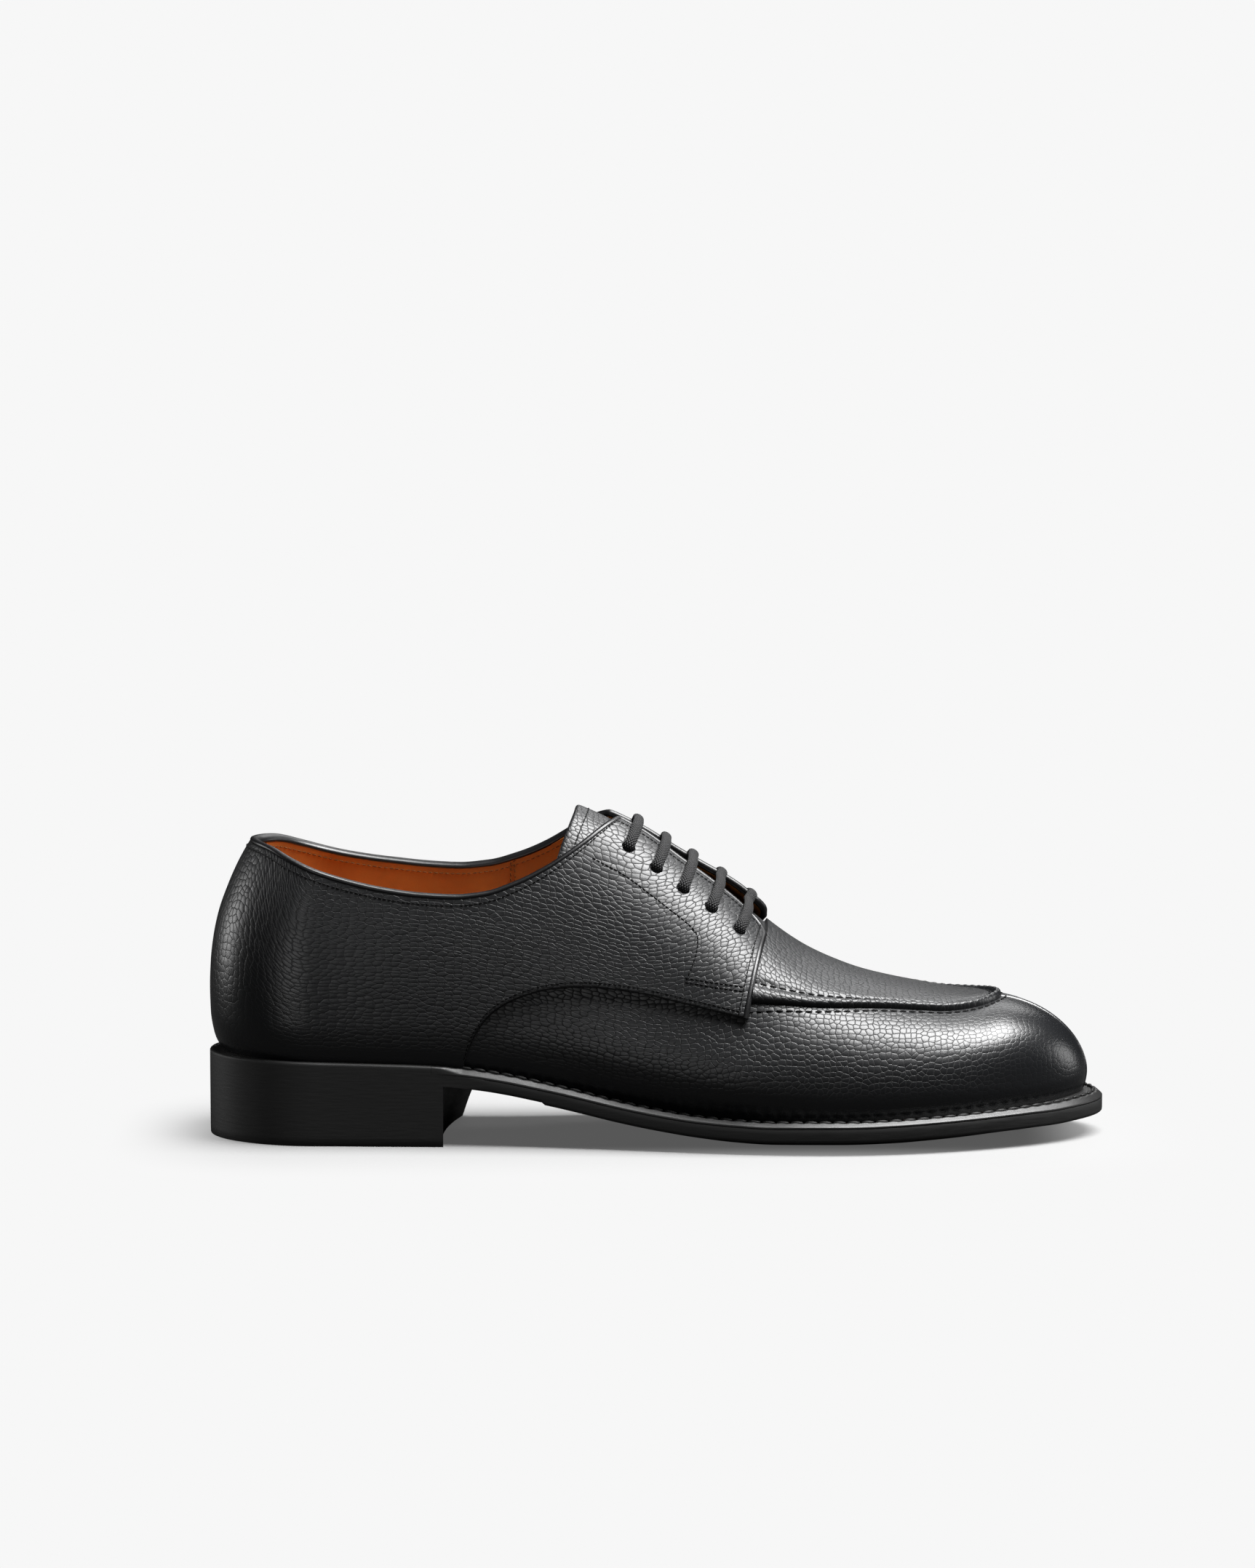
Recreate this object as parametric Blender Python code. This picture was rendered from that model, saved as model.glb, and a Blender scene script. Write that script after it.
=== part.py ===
"""Apron-front derby shoe for the right foot, built in its maker's pieces around one last.

Every piece is worked out from the last: a set of upright sections along the foot, each with its widest
half-widths, its ridge and its corner roundness. Tables are in millimetres, measured from the back of the
heel along x, from the shoe's long axis along y (lateral is negative) and from the floor along z.
"""

import math
from collections import namedtuple

import bmesh
import bpy
from mathutils import Vector

MM = 0.001
LATERAL = -1
MEDIAL = 1

# Driving sizes of the last and the wall.
LENGTH = 302.0
HEEL_X = 8.0
HEEL_ARC = 30.0
TOE_X = 293.3
TOE_ARC = 62.0
TOE_POWER = 2.4
TOE_RISE_ARC = 36.0
TOE_RISE_POWER = 1.8
TOE_WALL_TOP = 21.5
TUCK = 2.6
BELLY_MOST = 0.6
WALL = 1.8
JOIN = 0.01
WALL_ROWS = 10
GAP = 0.3
LAP = 2.25

Section = namedtuple("Section", "x lateral medial swing ridge belly square")
LAST = [
    Section(8, 28.0, 27.5, 0.0, 125.0, 13.0, 2.00),
    Section(38, 28.0, 27.5, 0.0, 126.0, 13.0, 2.00),
    Section(60, 28.8, 27.6, 0.0, 125.5, 14.0, 2.00),
    Section(85, 29.6, 27.0, 0.0, 122.5, 15.0, 2.00),
    Section(110, 31.5, 26.2, 0.2, 117.8, 16.0, 2.00),
    Section(125, 33.7, 26.8, 0.4, 112.5, 16.0, 2.00),
    Section(135, 35.4, 28.0, 0.6, 108.0, 15.0, 2.02),
    Section(145, 37.4, 29.8, 0.8, 102.0, 14.0, 2.04),
    Section(155, 39.6, 32.2, 1.0, 94.8, 13.0, 2.06),
    Section(165, 41.9, 35.0, 1.2, 87.8, 12.0, 2.08),
    Section(175, 44.0, 38.0, 1.4, 79.9, 11.0, 2.10),
    Section(185, 45.7, 40.8, 1.5, 70.6, 10.0, 2.14),
    Section(200, 47.2, 44.0, 1.6, 59.9, 9.5, 2.20),
    Section(210, 47.5, 45.0, 1.7, 55.0, 9.0, 2.26),
    Section(220, 47.0, 45.3, 1.8, 51.2, 9.0, 2.34),
    Section(230, 45.6, 44.8, 1.9, 48.6, 9.0, 2.42),
    Section(240, 43.4, 43.2, 2.0, 46.6, 9.0, 2.46),
    Section(250, 41.0, 41.4, 2.0, 44.9, 8.8, 2.46),
    Section(260, 38.5, 39.5, 2.0, 44.3, 8.5, 2.46),
    Section(270, 36.1, 37.3, 1.9, 45.6, 8.0, 2.44),
    Section(295, 30.0, 31.0, 1.5, 46.6, 6.0, 2.30),
]

# How far the back of the heel and the toe wall stand out from the feather line, by height above it.
HEEL_CURVE = [(0, 0.0), (6, -2.9), (13, -4.0), (21, -4.2), (29, -3.9), (37, -3.0), (45, -1.3),
              (54, 1.9), (61, 5.0), (66, 7.7), (70, 10.2), (76, 14.2)]
HEEL_CURVE_FADE = (8.0, 62.0)
TOE_CURVE = [(0, 0.0), (3, 0.9), (6, 1.3), (10, 1.1), (40, 0.0)]
TOE_CURVE_FADE = (293.3, 258.0)

# The sole: its flat tread under the ball, the line of its underside along the foot, how far its edges lift,
# and the layers above it. Rows hold the place along x, then the height or lift there.
FLAT_START = 190.0
FLAT_END = 212.0
ROCKER = [(0, 21.6), (40, 20.8), (80, 19.7), (100, 17.2), (113, 14.3), (125, 11.3), (137, 8.1), (150, 5.1),
          (165, 2.3), (178, 0.6), (FLAT_START, 0.0), (FLAT_END, 0.0), (230, 0.4), (245, 1.4), (260, 2.9),
          (275, 5.0), (288, 6.6), (302, 7.3)]
CAMBER = [(0, 0.0), (100, 0.0), (120, 0.8), (140, 1.8), (160, 3.0), (180, 4.4), (215, 4.8), (230, 4.8),
          (245, 4.3), (260, 3.2), (275, 1.3), (288, 0.0), (302, 0.0)]
CAMBER_FLAT = 0.35
OUTSOLE_THICK = 4.6
WELT_THICK = 2.4
WELT_BED = 0.4
INSOLE_RISE = 1.2
TREAD_STEP = 0.7
TREAD_START = 113.0
TREAD_SLOPE = 0.4
# How far the sole's edge stands outside the last, by place along x.
EDGE_REACH = [(8, 8.0), (20, 6.6), (40, 6.2), (85, 6.4), (130, 7.2), (180, 7.6), (240, 7.8), (293.3, 8.7)]
WELT_START = 76.0

# The heel, with a concave breast that runs further forward on the medial side.
BREAST_LATERAL = 80.0
BREAST_MEDIAL = 88.7
BREAST_HOLLOW = 2.8
BREAST_FADE = 4
NOTCH = 5.0
NOTCH_FROM = 0.45
TOP_PIECE_THICK = 6.0
TOP_PIECE_INSET = 0.4
STACK_INSET = 0.2

# The collar, the throat and the quarters. Rows hold the place along x, then a height, or half a gap's width.
COLLAR = [(8, 97.8), (14, 96.8), (24, 93.7), (36, 90.1), (48, 87.2), (60, 84.8), (72, 83.2), (84, 82.6),
          (94, 83.6), (104, 86.8), (114, 91.4), (124, 97.4), (132, 102.8), (142, 110.4), (300, 160.0)]
MEDIAL_COLLAR_LIFT = [(8, 0.0), (40, 2.5), (70, 4.2), (90, 4.2), (115, 3.4), (150, 3.4)]
FACING_START = 120.0
LATERAL_GAP = [(120, 8.5), (145, 8.2), (163, 10.6), (176, 11.8), (181, 12.6), (183.8, 14.8), (185, 18.0)]
MEDIAL_GAP = [(120, 8.5), (145, 8.2), (163, 8.8), (176, 7.0), (181, 7.0), (183.8, 9.0), (185, 12.5)]
CORNER_BLEND = math.radians(14)
WALL_CORNER_BLEND = math.radians(20)
THROAT_SETBACK = 1.0
THROAT_END = 183.0
THROAT_ROUND = 8.0
QUARTER_THICK = 1.4
VAMP_LINE = [(86.8, 27.0), (88.4, 33.4), (91.8, 40.2), (97.8, 46.2), (106, 50.4), (116, 53.0), (126, 53.8),
             (140, 52.8), (160, 48.8), (180, 44.0)]
# Where each upright line of the quarter starts on its lower edge and ends on its upper edge.
QUARTER_LEAN = [(8, 8), (60, 60), (80, 80), (86.8, 87.2), (100, 106.5), (120, 132.5), (140, 151),
                (160, 168.6), (172, 179.4), (180, 185.0)]
QUARTER_FRONT = 180.0
QUARTER_RISE = [86.8, 87.6, 88.8, 90.8, 93.8, 97.6]
QUARTER_CORNER = (102.6, 128.0)
QUARTER_FACING = 134.0
BACK_SEAM_T = 0.006

# The apron, its lip and the toe seam. Rows hold the place along x, then half the apron's width.
APRON_BACK = 186.4
APRON_FRONT = 267.5
APRON_ROUND = 34.0
APRON_WIDTH = [(180, 40.0), (190, 39.3), (200, 37.8), (210, 35.2), (220, 32.0), (230, 29.0), (240, 26.4),
               (268, 21.0)]
APRON_SWEEP = 4.6
APRON_SWEEP_FROM = 14.0
APRON_POWER = 2.3
APRON_BODY = 0.9
APRON_ROWS = 6
APRON_BED = 2.3
APRON_LIP = 1.7
APRON_LIP_EDGE = 1.4
APRON_LIP_WIDTH = 2.2
APRON_SPINE_END = 245.0
TOE_SEAM_HALF = 1.3
TOE_SEAM_HEIGHT = 0.6
TOE_SEAM_CROWN = 0.6
TOE_SEAM_START = 268.6

# Eyelets, laces and tongue.
# Rows hold the place along x, then half the width there.
EYELET_COUNT = 5
EYELET_FIRST = 140.4
EYELET_PITCH = 9.1
LATERAL_EYELETS = [(140.4, 17.0), (158.6, 21.2), (176.8, 24.9)]
MEDIAL_EYELETS = [(140.4, 17.0), (158.6, 19.0), (176.8, 19.6)]
EYELET_RADIUS = 2.5
PUNCH_REACH = 1.5
LACE_RADIUS = 1.6
LACE_LIFT = 5.9
LACE_SAG = 1.2
# The lace's bend out of a hole: how far in from the hole's axis, and how high over the last.
LACE_BEND = [(0.0, 1.0), (0.0, 2.8), (0.4, 4.5), (1.8, 5.8), (4.0, LACE_LIFT)]
# The bar between the bends: the share of a hole's reach, and the share of the sag there.
LACE_BAR = [(0.56, 0.0), (0.28, 2 / 3)]
LACE_LEAN = 2.6
TONGUE_THICK = 2.6
TONGUE_DROP = 1.3
TONGUE_FRONT = 193.0
TONGUE_TOP = 124.6
TONGUE_SWEEP = 7.0
TONGUE_HALF = [(118, 21.5), (140, 23.5), (193, 25.0)]


class Curve:
    """A smooth curve through hand-set points that never overshoots them."""

    def __init__(self, points):
        self.xs = [p[0] for p in points]
        self.ys = [p[1] for p in points]
        runs = [b - a for a, b in zip(self.xs, self.xs[1:])]
        rises = [(b - a) / h for a, b, h in zip(self.ys, self.ys[1:], runs)]
        self.slopes = [rises[0]]
        for i in range(1, len(runs)):
            before, after = rises[i - 1], rises[i]
            if before * after <= 0:
                self.slopes.append(0.0)
                continue
            w1 = 2 * runs[i] + runs[i - 1]
            w2 = runs[i] + 2 * runs[i - 1]
            self.slopes.append((w1 + w2) / (w1 / before + w2 / after))
        self.slopes.append(rises[-1])

    def __call__(self, x):
        x = min(max(x, self.xs[0]), self.xs[-1])
        i = 0
        while i < len(self.xs) - 2 and x > self.xs[i + 1]:
            i += 1
        h = self.xs[i + 1] - self.xs[i]
        s = (x - self.xs[i]) / h
        start = self.ys[i] * (1 + 2 * s) * (1 - s) ** 2 + self.slopes[i] * h * s * (1 - s) ** 2
        end = self.ys[i + 1] * s * s * (3 - 2 * s) + self.slopes[i + 1] * h * s * s * (s - 1)
        return start + end


def column(name):
    return Curve([(row.x, getattr(row, name)) for row in LAST])


last = {name: column(name) for name in Section._fields[1:]}
heel_curve, toe_curve = Curve(HEEL_CURVE), Curve(TOE_CURVE)
rocker, camber, edge_reach = Curve(ROCKER), Curve(CAMBER), Curve(EDGE_REACH)
collar, medial_lift = Curve(COLLAR), Curve(MEDIAL_COLLAR_LIFT)
facing_gap = {LATERAL: Curve(LATERAL_GAP), MEDIAL: Curve(MEDIAL_GAP)}
vamp_line, quarter_lean = Curve(VAMP_LINE), Curve(QUARTER_LEAN)
apron_width, tongue_half = Curve(APRON_WIDTH), Curve(TONGUE_HALF)
eyelet_width = {LATERAL: Curve(LATERAL_EYELETS), MEDIAL: Curve(MEDIAL_EYELETS)}


def fade(x, limits):
    """1 at the first limit, 0 past the second, smooth between."""
    s = min(max((x - limits[0]) / (limits[1] - limits[0]), 0.0), 1.0)
    return 1 - s * s * (3 - 2 * s)


# The last. Its stations run t = 0 to 1 round the heel, 1 to 2 along the foot and 2 to 3 round the toe.
def station_x(t):
    if t < 1:
        return HEEL_X + HEEL_ARC * (1 - math.cos(t * math.pi / 2))
    if t < 2:
        return HEEL_X + HEEL_ARC + (t - 1) * (TOE_X - TOE_ARC - HEEL_X - HEEL_ARC)
    return TOE_X - TOE_ARC + TOE_ARC * math.sin((t - 2) * math.pi / 2)


def station_t(x):
    """The station whose section stands at x."""
    if x < HEEL_X + HEEL_ARC:
        return math.acos(1 - max(x - HEEL_X, 0.0) / HEEL_ARC) / (math.pi / 2)
    if x < TOE_X - TOE_ARC:
        return 1 + (x - HEEL_X - HEEL_ARC) / (TOE_X - TOE_ARC - HEEL_X - HEEL_ARC)
    return 2 + math.asin(min((x - TOE_X + TOE_ARC) / TOE_ARC, 1.0)) / (math.pi / 2)


def roundness(t):
    """The share of its full width that a section keeps as the outline closes round heel and toe."""
    if t < 1:
        return math.sin(t * math.pi / 2)
    if t < 2:
        return 1.0
    return math.sqrt(max(1 - math.sin((t - 2) * math.pi / 2) ** TOE_POWER, 0.0))


def half_width(t, side):
    name = "lateral" if side == LATERAL else "medial"
    return last[name](station_x(t)) * roundness(t)


def ridge_height(x):
    start = TOE_X - TOE_RISE_ARC
    share = min(max((x - start) / TOE_RISE_ARC, 0.0), 1.0)
    rise = (1 - share * share) ** (1 / TOE_RISE_POWER)
    return TOE_WALL_TOP + (last["ridge"](x) - TOE_WALL_TOP) * rise


def sole_line(x, y):
    """Height of the sole's walking surface: its rocker, and the lift of its edges."""
    side = LATERAL if y < 0 else MEDIAL
    share = abs(y) / (half_width(station_t(x), side) + edge_reach(x) - TUCK)
    lift = max(min(share, 1.0) - CAMBER_FLAT, 0.0) / (1 - CAMBER_FLAT)
    return rocker(x) + camber(x) * lift * lift


def under_sole(x, y):
    """Height of the outsole's underside, which steps down where the forefoot tread begins."""
    return sole_line(x, y) + TREAD_STEP * fade(x, (TREAD_START, TREAD_START + TREAD_SLOPE))


def seat_height(x, y):
    """Top of welt and heel seat, which the upper stands on."""
    return sole_line(x, y) + OUTSOLE_THICK + WELT_THICK + GAP


def section_frame(t, side):
    """Widest half-width, feather height, height of the widest level, ridge height, corner power."""
    x = station_x(t)
    wide = half_width(t, side)
    foot = seat_height(x, wide) + GAP
    top = ridge_height(x)
    belly = min(last["belly"](x), BELLY_MOST * (top - foot))
    return x, wide, foot, foot + belly, top, last["square"](x)


def theta_at_height(t, side, z):
    x, wide, foot, level, top, square = section_frame(t, side)
    if z < level:
        return -math.pi / 2 * (level - z) / (level - foot)
    return math.asin(min((z - level) / (top - level), 1.0) ** (square / 2))


def theta_at_width(t, side, y):
    x, wide, foot, level, top, square = section_frame(t, side)
    return math.acos(min(y / wide, 1.0) ** (square / 2))


def bare_point(t, theta, side):
    """A point of the last. Theta is -90 degrees at the feather line, 0 at the widest level, 90 on top."""
    x, wide, foot, level, top, square = section_frame(t, side)
    if theta < 0:
        s = min(-theta / (math.pi / 2), 1.0)
        y = wide - TUCK * roundness(t) * s * s
        z = level - (level - foot) * s
    else:
        y = wide * max(math.cos(theta), 0.0) ** (2 / square)
        z = level + (top - level) * max(math.sin(theta), 0.0) ** (2 / square)
    x += heel_curve(z - foot) * fade(x, HEEL_CURVE_FADE)
    x += toe_curve(z - foot) * fade(x, TOE_CURVE_FADE)
    return Vector((x, last["swing"](station_x(t)) + side * y, z))


def last_normal(t, theta, side):
    """Outward normal of the last, turned level at the feather line so that a wall's foot is flat."""
    step = 1e-3
    t0 = min(max(t, step), 3 - step)
    a0 = min(max(theta, -math.pi / 2 + step), math.pi / 2 - step)
    along = bare_point(t0 + step, a0, side) - bare_point(t0 - step, a0, side)
    up = bare_point(t0, a0 + step, side) - bare_point(t0, a0 - step, side)
    normal = along.cross(up) * -side
    if theta < 0:
        normal.z *= 1 - (-theta / (math.pi / 2)) ** 3
    if t <= 0 or t >= 3:
        normal.y = 0
    if theta >= math.pi / 2 - 1e-9:
        normal.y = 0
    return normal.normalized()


def last_point(t, theta, side, offset=0.0):
    return bare_point(t, theta, side) + offset * last_normal(t, theta, side)


def plan_point(x, y, offset):
    """A point over the top of the last, by its place along the foot and across from the ridge."""
    t = station_t(x)
    side = LATERAL if y < 0 else MEDIAL
    return last_point(t, theta_at_width(t, side, abs(y)), side, offset)


# Meshes.
def material(name, colour, roughness):
    made = bpy.data.materials.new(name)
    made.use_nodes = True
    shader = made.node_tree.nodes["Principled BSDF"]
    shader.inputs["Base Color"].default_value = (*colour, 1)
    shader.inputs["Roughness"].default_value = roughness
    shader.inputs["Metallic"].default_value = 0
    return made


def add_piece(name, points, faces, finish):
    """One closed piece from points in millimetres. Points that coincide are joined."""
    mesh = bpy.data.meshes.new(name)
    mesh.from_pydata([p * MM for p in points], [], faces)
    work = bmesh.new()
    work.from_mesh(mesh)
    bmesh.ops.remove_doubles(work, verts=work.verts, dist=JOIN * MM)
    bmesh.ops.recalc_face_normals(work, faces=work.faces)
    work.to_mesh(mesh)
    work.free()
    mesh.shade_smooth()
    mesh.set_sharp_from_angle(angle=math.radians(35))
    mesh.materials.append(finish)
    piece = bpy.data.objects.new(name, mesh)
    piece.parent = shoe
    bpy.context.collection.objects.link(piece)
    return piece


class Shell:
    """Points and faces of one solid, gathered grid by grid."""

    def __init__(self):
        self.points = []
        self.faces = []

    def grid(self, rows, closed=False):
        """Faces over a list of equal rows of points. Returns the index of each point."""
        index = []
        for row in rows:
            index.append(list(range(len(self.points), len(self.points) + len(row))))
            self.points.extend(row)
        for a, b in zip(index, index[1:]):
            ends = list(zip(range(len(a)), range(1, len(a))))
            if closed:
                ends.append((len(a) - 1, 0))
            for i, j in ends:
                self.faces.append((a[i], a[j], b[j], b[i]))
        return index

    def strip(self, first, second):
        for i in range(len(first) - 1):
            self.faces.append((first[i], first[i + 1], second[i + 1], second[i]))

    def thick(self, outer, inner):
        """A panel between two grids, with its four edges closed."""
        top, under = self.grid(outer), self.grid(inner)
        self.strip(top[0], under[0])
        self.strip(top[-1], under[-1])
        self.strip([row[0] for row in top], [row[0] for row in under])
        self.strip([row[-1] for row in top], [row[-1] for row in under])


def spread(start, end, count):
    return [start + (end - start) * i / (count - 1) for i in range(count)]


def row_angles(low, high):
    """Angles of a wall's rows, close over the rounded shoulder and wide on the straighter foot below it."""
    if low >= 0:
        return spread(low, high, WALL_ROWS)
    return [low, low / 2] + spread(0, high, WALL_ROWS - 2)


# Sole pieces.
def edge_point(t, side, reach):
    """A point in plan, so far outside the last's feather line."""
    step = 1e-3
    t0 = min(max(t, step), 3 - step)
    foot = -math.pi / 2
    along = bare_point(t0 + step, foot, side) - bare_point(t0 - step, foot, side)
    out = Vector((along.y, -along.x, 0)) * -side
    if t <= 0 or t >= 3:
        out.y = 0
    point = bare_point(t, foot, side) + reach * out.normalized()
    point.z = 0
    return point


def sole_edge(t, side, inset=0.0):
    return edge_point(t, side, edge_reach(station_x(t)) - inset)


def slab(name, finish, lines, under, over, across=9, notch=0.0):
    """A plate between two heights. Each line holds its lateral and medial points in plan, and a hollow, as a
    share of which the notch cuts back its medial end."""
    top, bottom = [], []
    for left, right, hollow in lines:
        row = []
        for k in spread(-1, 1, across):
            back = hollow * (1 - k * k) + notch * hollow * max(k - NOTCH_FROM, 0.0) / (1 - NOTCH_FROM)
            row.append(left.lerp(right, (k + 1) / 2) - Vector((back, 0, 0)))
        top.append([Vector((p.x, p.y, over(p.x, p.y))) for p in row])
        bottom.append([Vector((p.x, p.y, under(p.x, p.y))) for p in row])
    made = Shell()
    made.thick(top, bottom)
    return add_piece(name, made.points, made.faces, finish)


def full_lines(first_t, last_t, count, point):
    return [(point(t, LATERAL), point(t, MEDIAL), 0.0) for t in spread(first_t, last_t, count)]


def make_outsole(finish):
    step, flat_start, flat_end = station_t(TREAD_START), station_t(FLAT_START), station_t(FLAT_END)
    after_step = station_t(TREAD_START + TREAD_SLOPE)
    lines = full_lines(0, 1, 8, sole_edge)[:-1] + full_lines(1, step, 8, sole_edge)
    lines += full_lines(after_step, flat_start, 8, sole_edge)[:-1]
    lines += full_lines(flat_start, flat_end, 3, sole_edge)[:-1]
    lines += full_lines(flat_end, 2, 3, sole_edge)[:-1] + full_lines(2, 3, 9, sole_edge)
    slab("outsole", finish, lines, under_sole, lambda x, y: sole_line(x, y) + OUTSOLE_THICK, across=11)


def heel_lines(shrink):
    """Lines across the heel from its back to its hollow breast."""
    ends = station_t(BREAST_LATERAL), station_t(BREAST_MEDIAL)
    lines = []
    for s in [math.sin(a) for a in spread(0, math.pi / 2, 13)]:
        left, right = (sole_edge(s * s * end, side, shrink) for end, side in zip(ends, (LATERAL, MEDIAL)))
        lines.append((left, right, BREAST_HOLLOW * s ** BREAST_FADE))
    return lines


def make_heel(stack_finish, rubber_finish):
    slab("heel_top_piece", rubber_finish, heel_lines(TOP_PIECE_INSET), lambda x, y: 0.0,
         lambda x, y: TOP_PIECE_THICK, across=9, notch=NOTCH / BREAST_HOLLOW)
    slab("heel_stack", stack_finish, heel_lines(STACK_INSET), lambda x, y: TOP_PIECE_THICK + GAP,
         lambda x, y: under_sole(x, y) - GAP, across=7)


def ring(name, finish, stations):
    """A strip on the outsole's edge, from just outside the last to the sole's edge."""
    outer, inner = [], []
    for t, side in stations:
        outer.append(sole_edge(t, side))
        inner.append(edge_point(t, side, GAP))
    made = Shell()
    rows = []
    for points, level in ((inner, 0), (outer, 0), (outer, 1), (inner, 1)):
        base = OUTSOLE_THICK + WELT_BED + level * (WELT_THICK + GAP - WELT_BED)
        rows.append([Vector((p.x, p.y, sole_line(p.x, p.y) + base)) for p in points])
    index = made.grid([list(line) for line in zip(*rows)], closed=True)
    made.faces.append(tuple(index[0]))
    made.faces.append(tuple(index[-1]))
    return add_piece(name, made.points, made.faces, finish)


def make_welt(finish):
    start = station_t(WELT_START)
    forward = spread(start, 2, 18)[:-1] + spread(2, 3, 10)
    stations = [(t, LATERAL) for t in forward] + [(t, MEDIAL) for t in reversed(forward[:-1])]
    ring("welt", finish, stations)


def make_rand(finish):
    end = station_t(WELT_START - GAP)
    forward = spread(0, 1, 8)[:-1] + spread(1, end, 4)
    stations = [(t, LATERAL) for t in reversed(forward)] + [(t, MEDIAL) for t in forward[1:]]
    ring("heel_rand", finish, stations)


def make_insole(finish):
    def edge(t, side):
        return edge_point(t, side, -GAP)

    lines = full_lines(0, 1, 7, edge)[:-1] + full_lines(1, 2, 16, edge)[:-1] + full_lines(2, 3, 8, edge)
    slab("insole", finish, lines, lambda x, y: sole_line(x, y) + OUTSOLE_THICK + 2 * GAP,
         lambda x, y: seat_height(x, y) + INSOLE_RISE, across=7)


# Upper.
def collar_height(x, side):
    return collar(x) + (medial_lift(x) if side == MEDIAL else 0.0)


def soft_min(a, b, blend):
    h = max(blend - abs(a - b), 0.0) / blend
    return min(a, b) - h * h * blend / 4


def top_theta(x, side, gap, blend):
    """Upper edge of the wall: the collar, turning into the edge of the facing at a rounded corner."""
    t = station_t(x)
    by_height = theta_at_height(t, side, collar_height(x, side))
    if x < FACING_START:
        return by_height
    return soft_min(by_height, theta_at_width(t, side, gap), blend)


def throat_gap(x, side):
    """The throat's width on one side, just wider than the facings over it, closing in a round end."""
    s = max((x - THROAT_END + THROAT_ROUND) / THROAT_ROUND, 0.0)
    whole = facing_gap[side](min(x, THROAT_END - THROAT_ROUND)) + THROAT_SETBACK
    return whole * math.sqrt(max(1 - s * s, 0.0))


def wall_top(t, side):
    x = station_x(t)
    if x >= THROAT_END - 1e-6:
        return math.pi / 2
    return top_theta(x, side, throat_gap(x, side), WALL_CORNER_BLEND)


def wall_stations():
    throat = station_t(THROAT_END)
    return spread(0, 1, 9)[:-1] + spread(1, throat, 19)[:-1] + spread(throat, 2, 7)[:-1] + spread(2, 3, 10)


def make_upper(finish):
    """The lined wall of vamp and quarters: one hollow solid, open at collar, throat and underneath."""
    throat = station_t(THROAT_END)
    stations = wall_stations()
    made = Shell()
    for side in (LATERAL, MEDIAL):
        outer, inner = [], []
        for t in stations:
            angles = row_angles(-math.pi / 2, wall_top(t, side))
            outer.append([last_point(t, a, side, WALL) for a in angles])
            inner.append([last_point(t, a, side) for a in angles])
        skin, lining = made.grid(outer), made.grid(inner)
        made.strip([row[0] for row in skin], [row[0] for row in lining])
        open_count = sum(1 for t in stations if t <= throat + 1e-9)
        made.strip([row[-1] for row in skin[:open_count]], [row[-1] for row in lining[:open_count]])
    return add_piece("upper", made.points, made.faces, finish)


def quarter_line(x_low, side):
    """Stations and angles of one upright line of the quarter, from its lower to its upper edge."""
    x_high = quarter_lean(x_low)
    t_low, t_high = station_t(x_low), station_t(x_high)
    low = -math.pi / 2
    if x_low > VAMP_LINE[0][0]:
        low = theta_at_height(t_low, side, vamp_line(x_low))
    high = top_theta(x_high, side, facing_gap[side](x_high), CORNER_BLEND)
    angles = row_angles(low, high)
    return [(t_low + (t_high - t_low) * (a - low) / (high - low), a) for a in angles]


def make_quarter(name, side, finish):
    """The outer panel from the back seam to the facing, lapped over the vamp."""
    heel = [station_x(t) for t in [BACK_SEAM_T] + wall_stations()[1:]]
    lows = [x for x in heel if x < QUARTER_RISE[0]] + QUARTER_RISE + spread(*QUARTER_CORNER, 8)
    lows += spread(QUARTER_FACING, QUARTER_FRONT, 8)
    outer, inner = [], []
    for x_low in lows:
        line = quarter_line(x_low, side)
        outer.append([last_point(t, a, side, LAP + QUARTER_THICK) for t, a in line])
        inner.append([last_point(t, a, side, LAP) for t, a in line])
    made = Shell()
    made.thick(outer, inner)
    return add_piece(name, made.points, made.faces, finish)


# Apron.
def apron_half(x, side):
    """Half the apron's width, closing round at its front. The medial half follows the narrower last."""
    s = max((x - APRON_FRONT + APRON_ROUND) / APRON_ROUND, 0.0)
    narrow = last["medial"](x) / last["lateral"](x) if side == MEDIAL else 1.0
    return side * narrow * apron_width(x) * math.sqrt(max(1 - s ** APRON_POWER, 0.0))


def apron_sweep(x, y):
    """How far the apron's back edge runs back beside the facings, following the front of the quarters."""
    out = max(abs(y) - APRON_SWEEP_FROM, 0.0) / (APRON_WIDTH[0][1] - APRON_SWEEP_FROM)
    return APRON_SWEEP * out * fade(x, (APRON_BACK, APRON_BACK + 6 * APRON_SWEEP))


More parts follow.
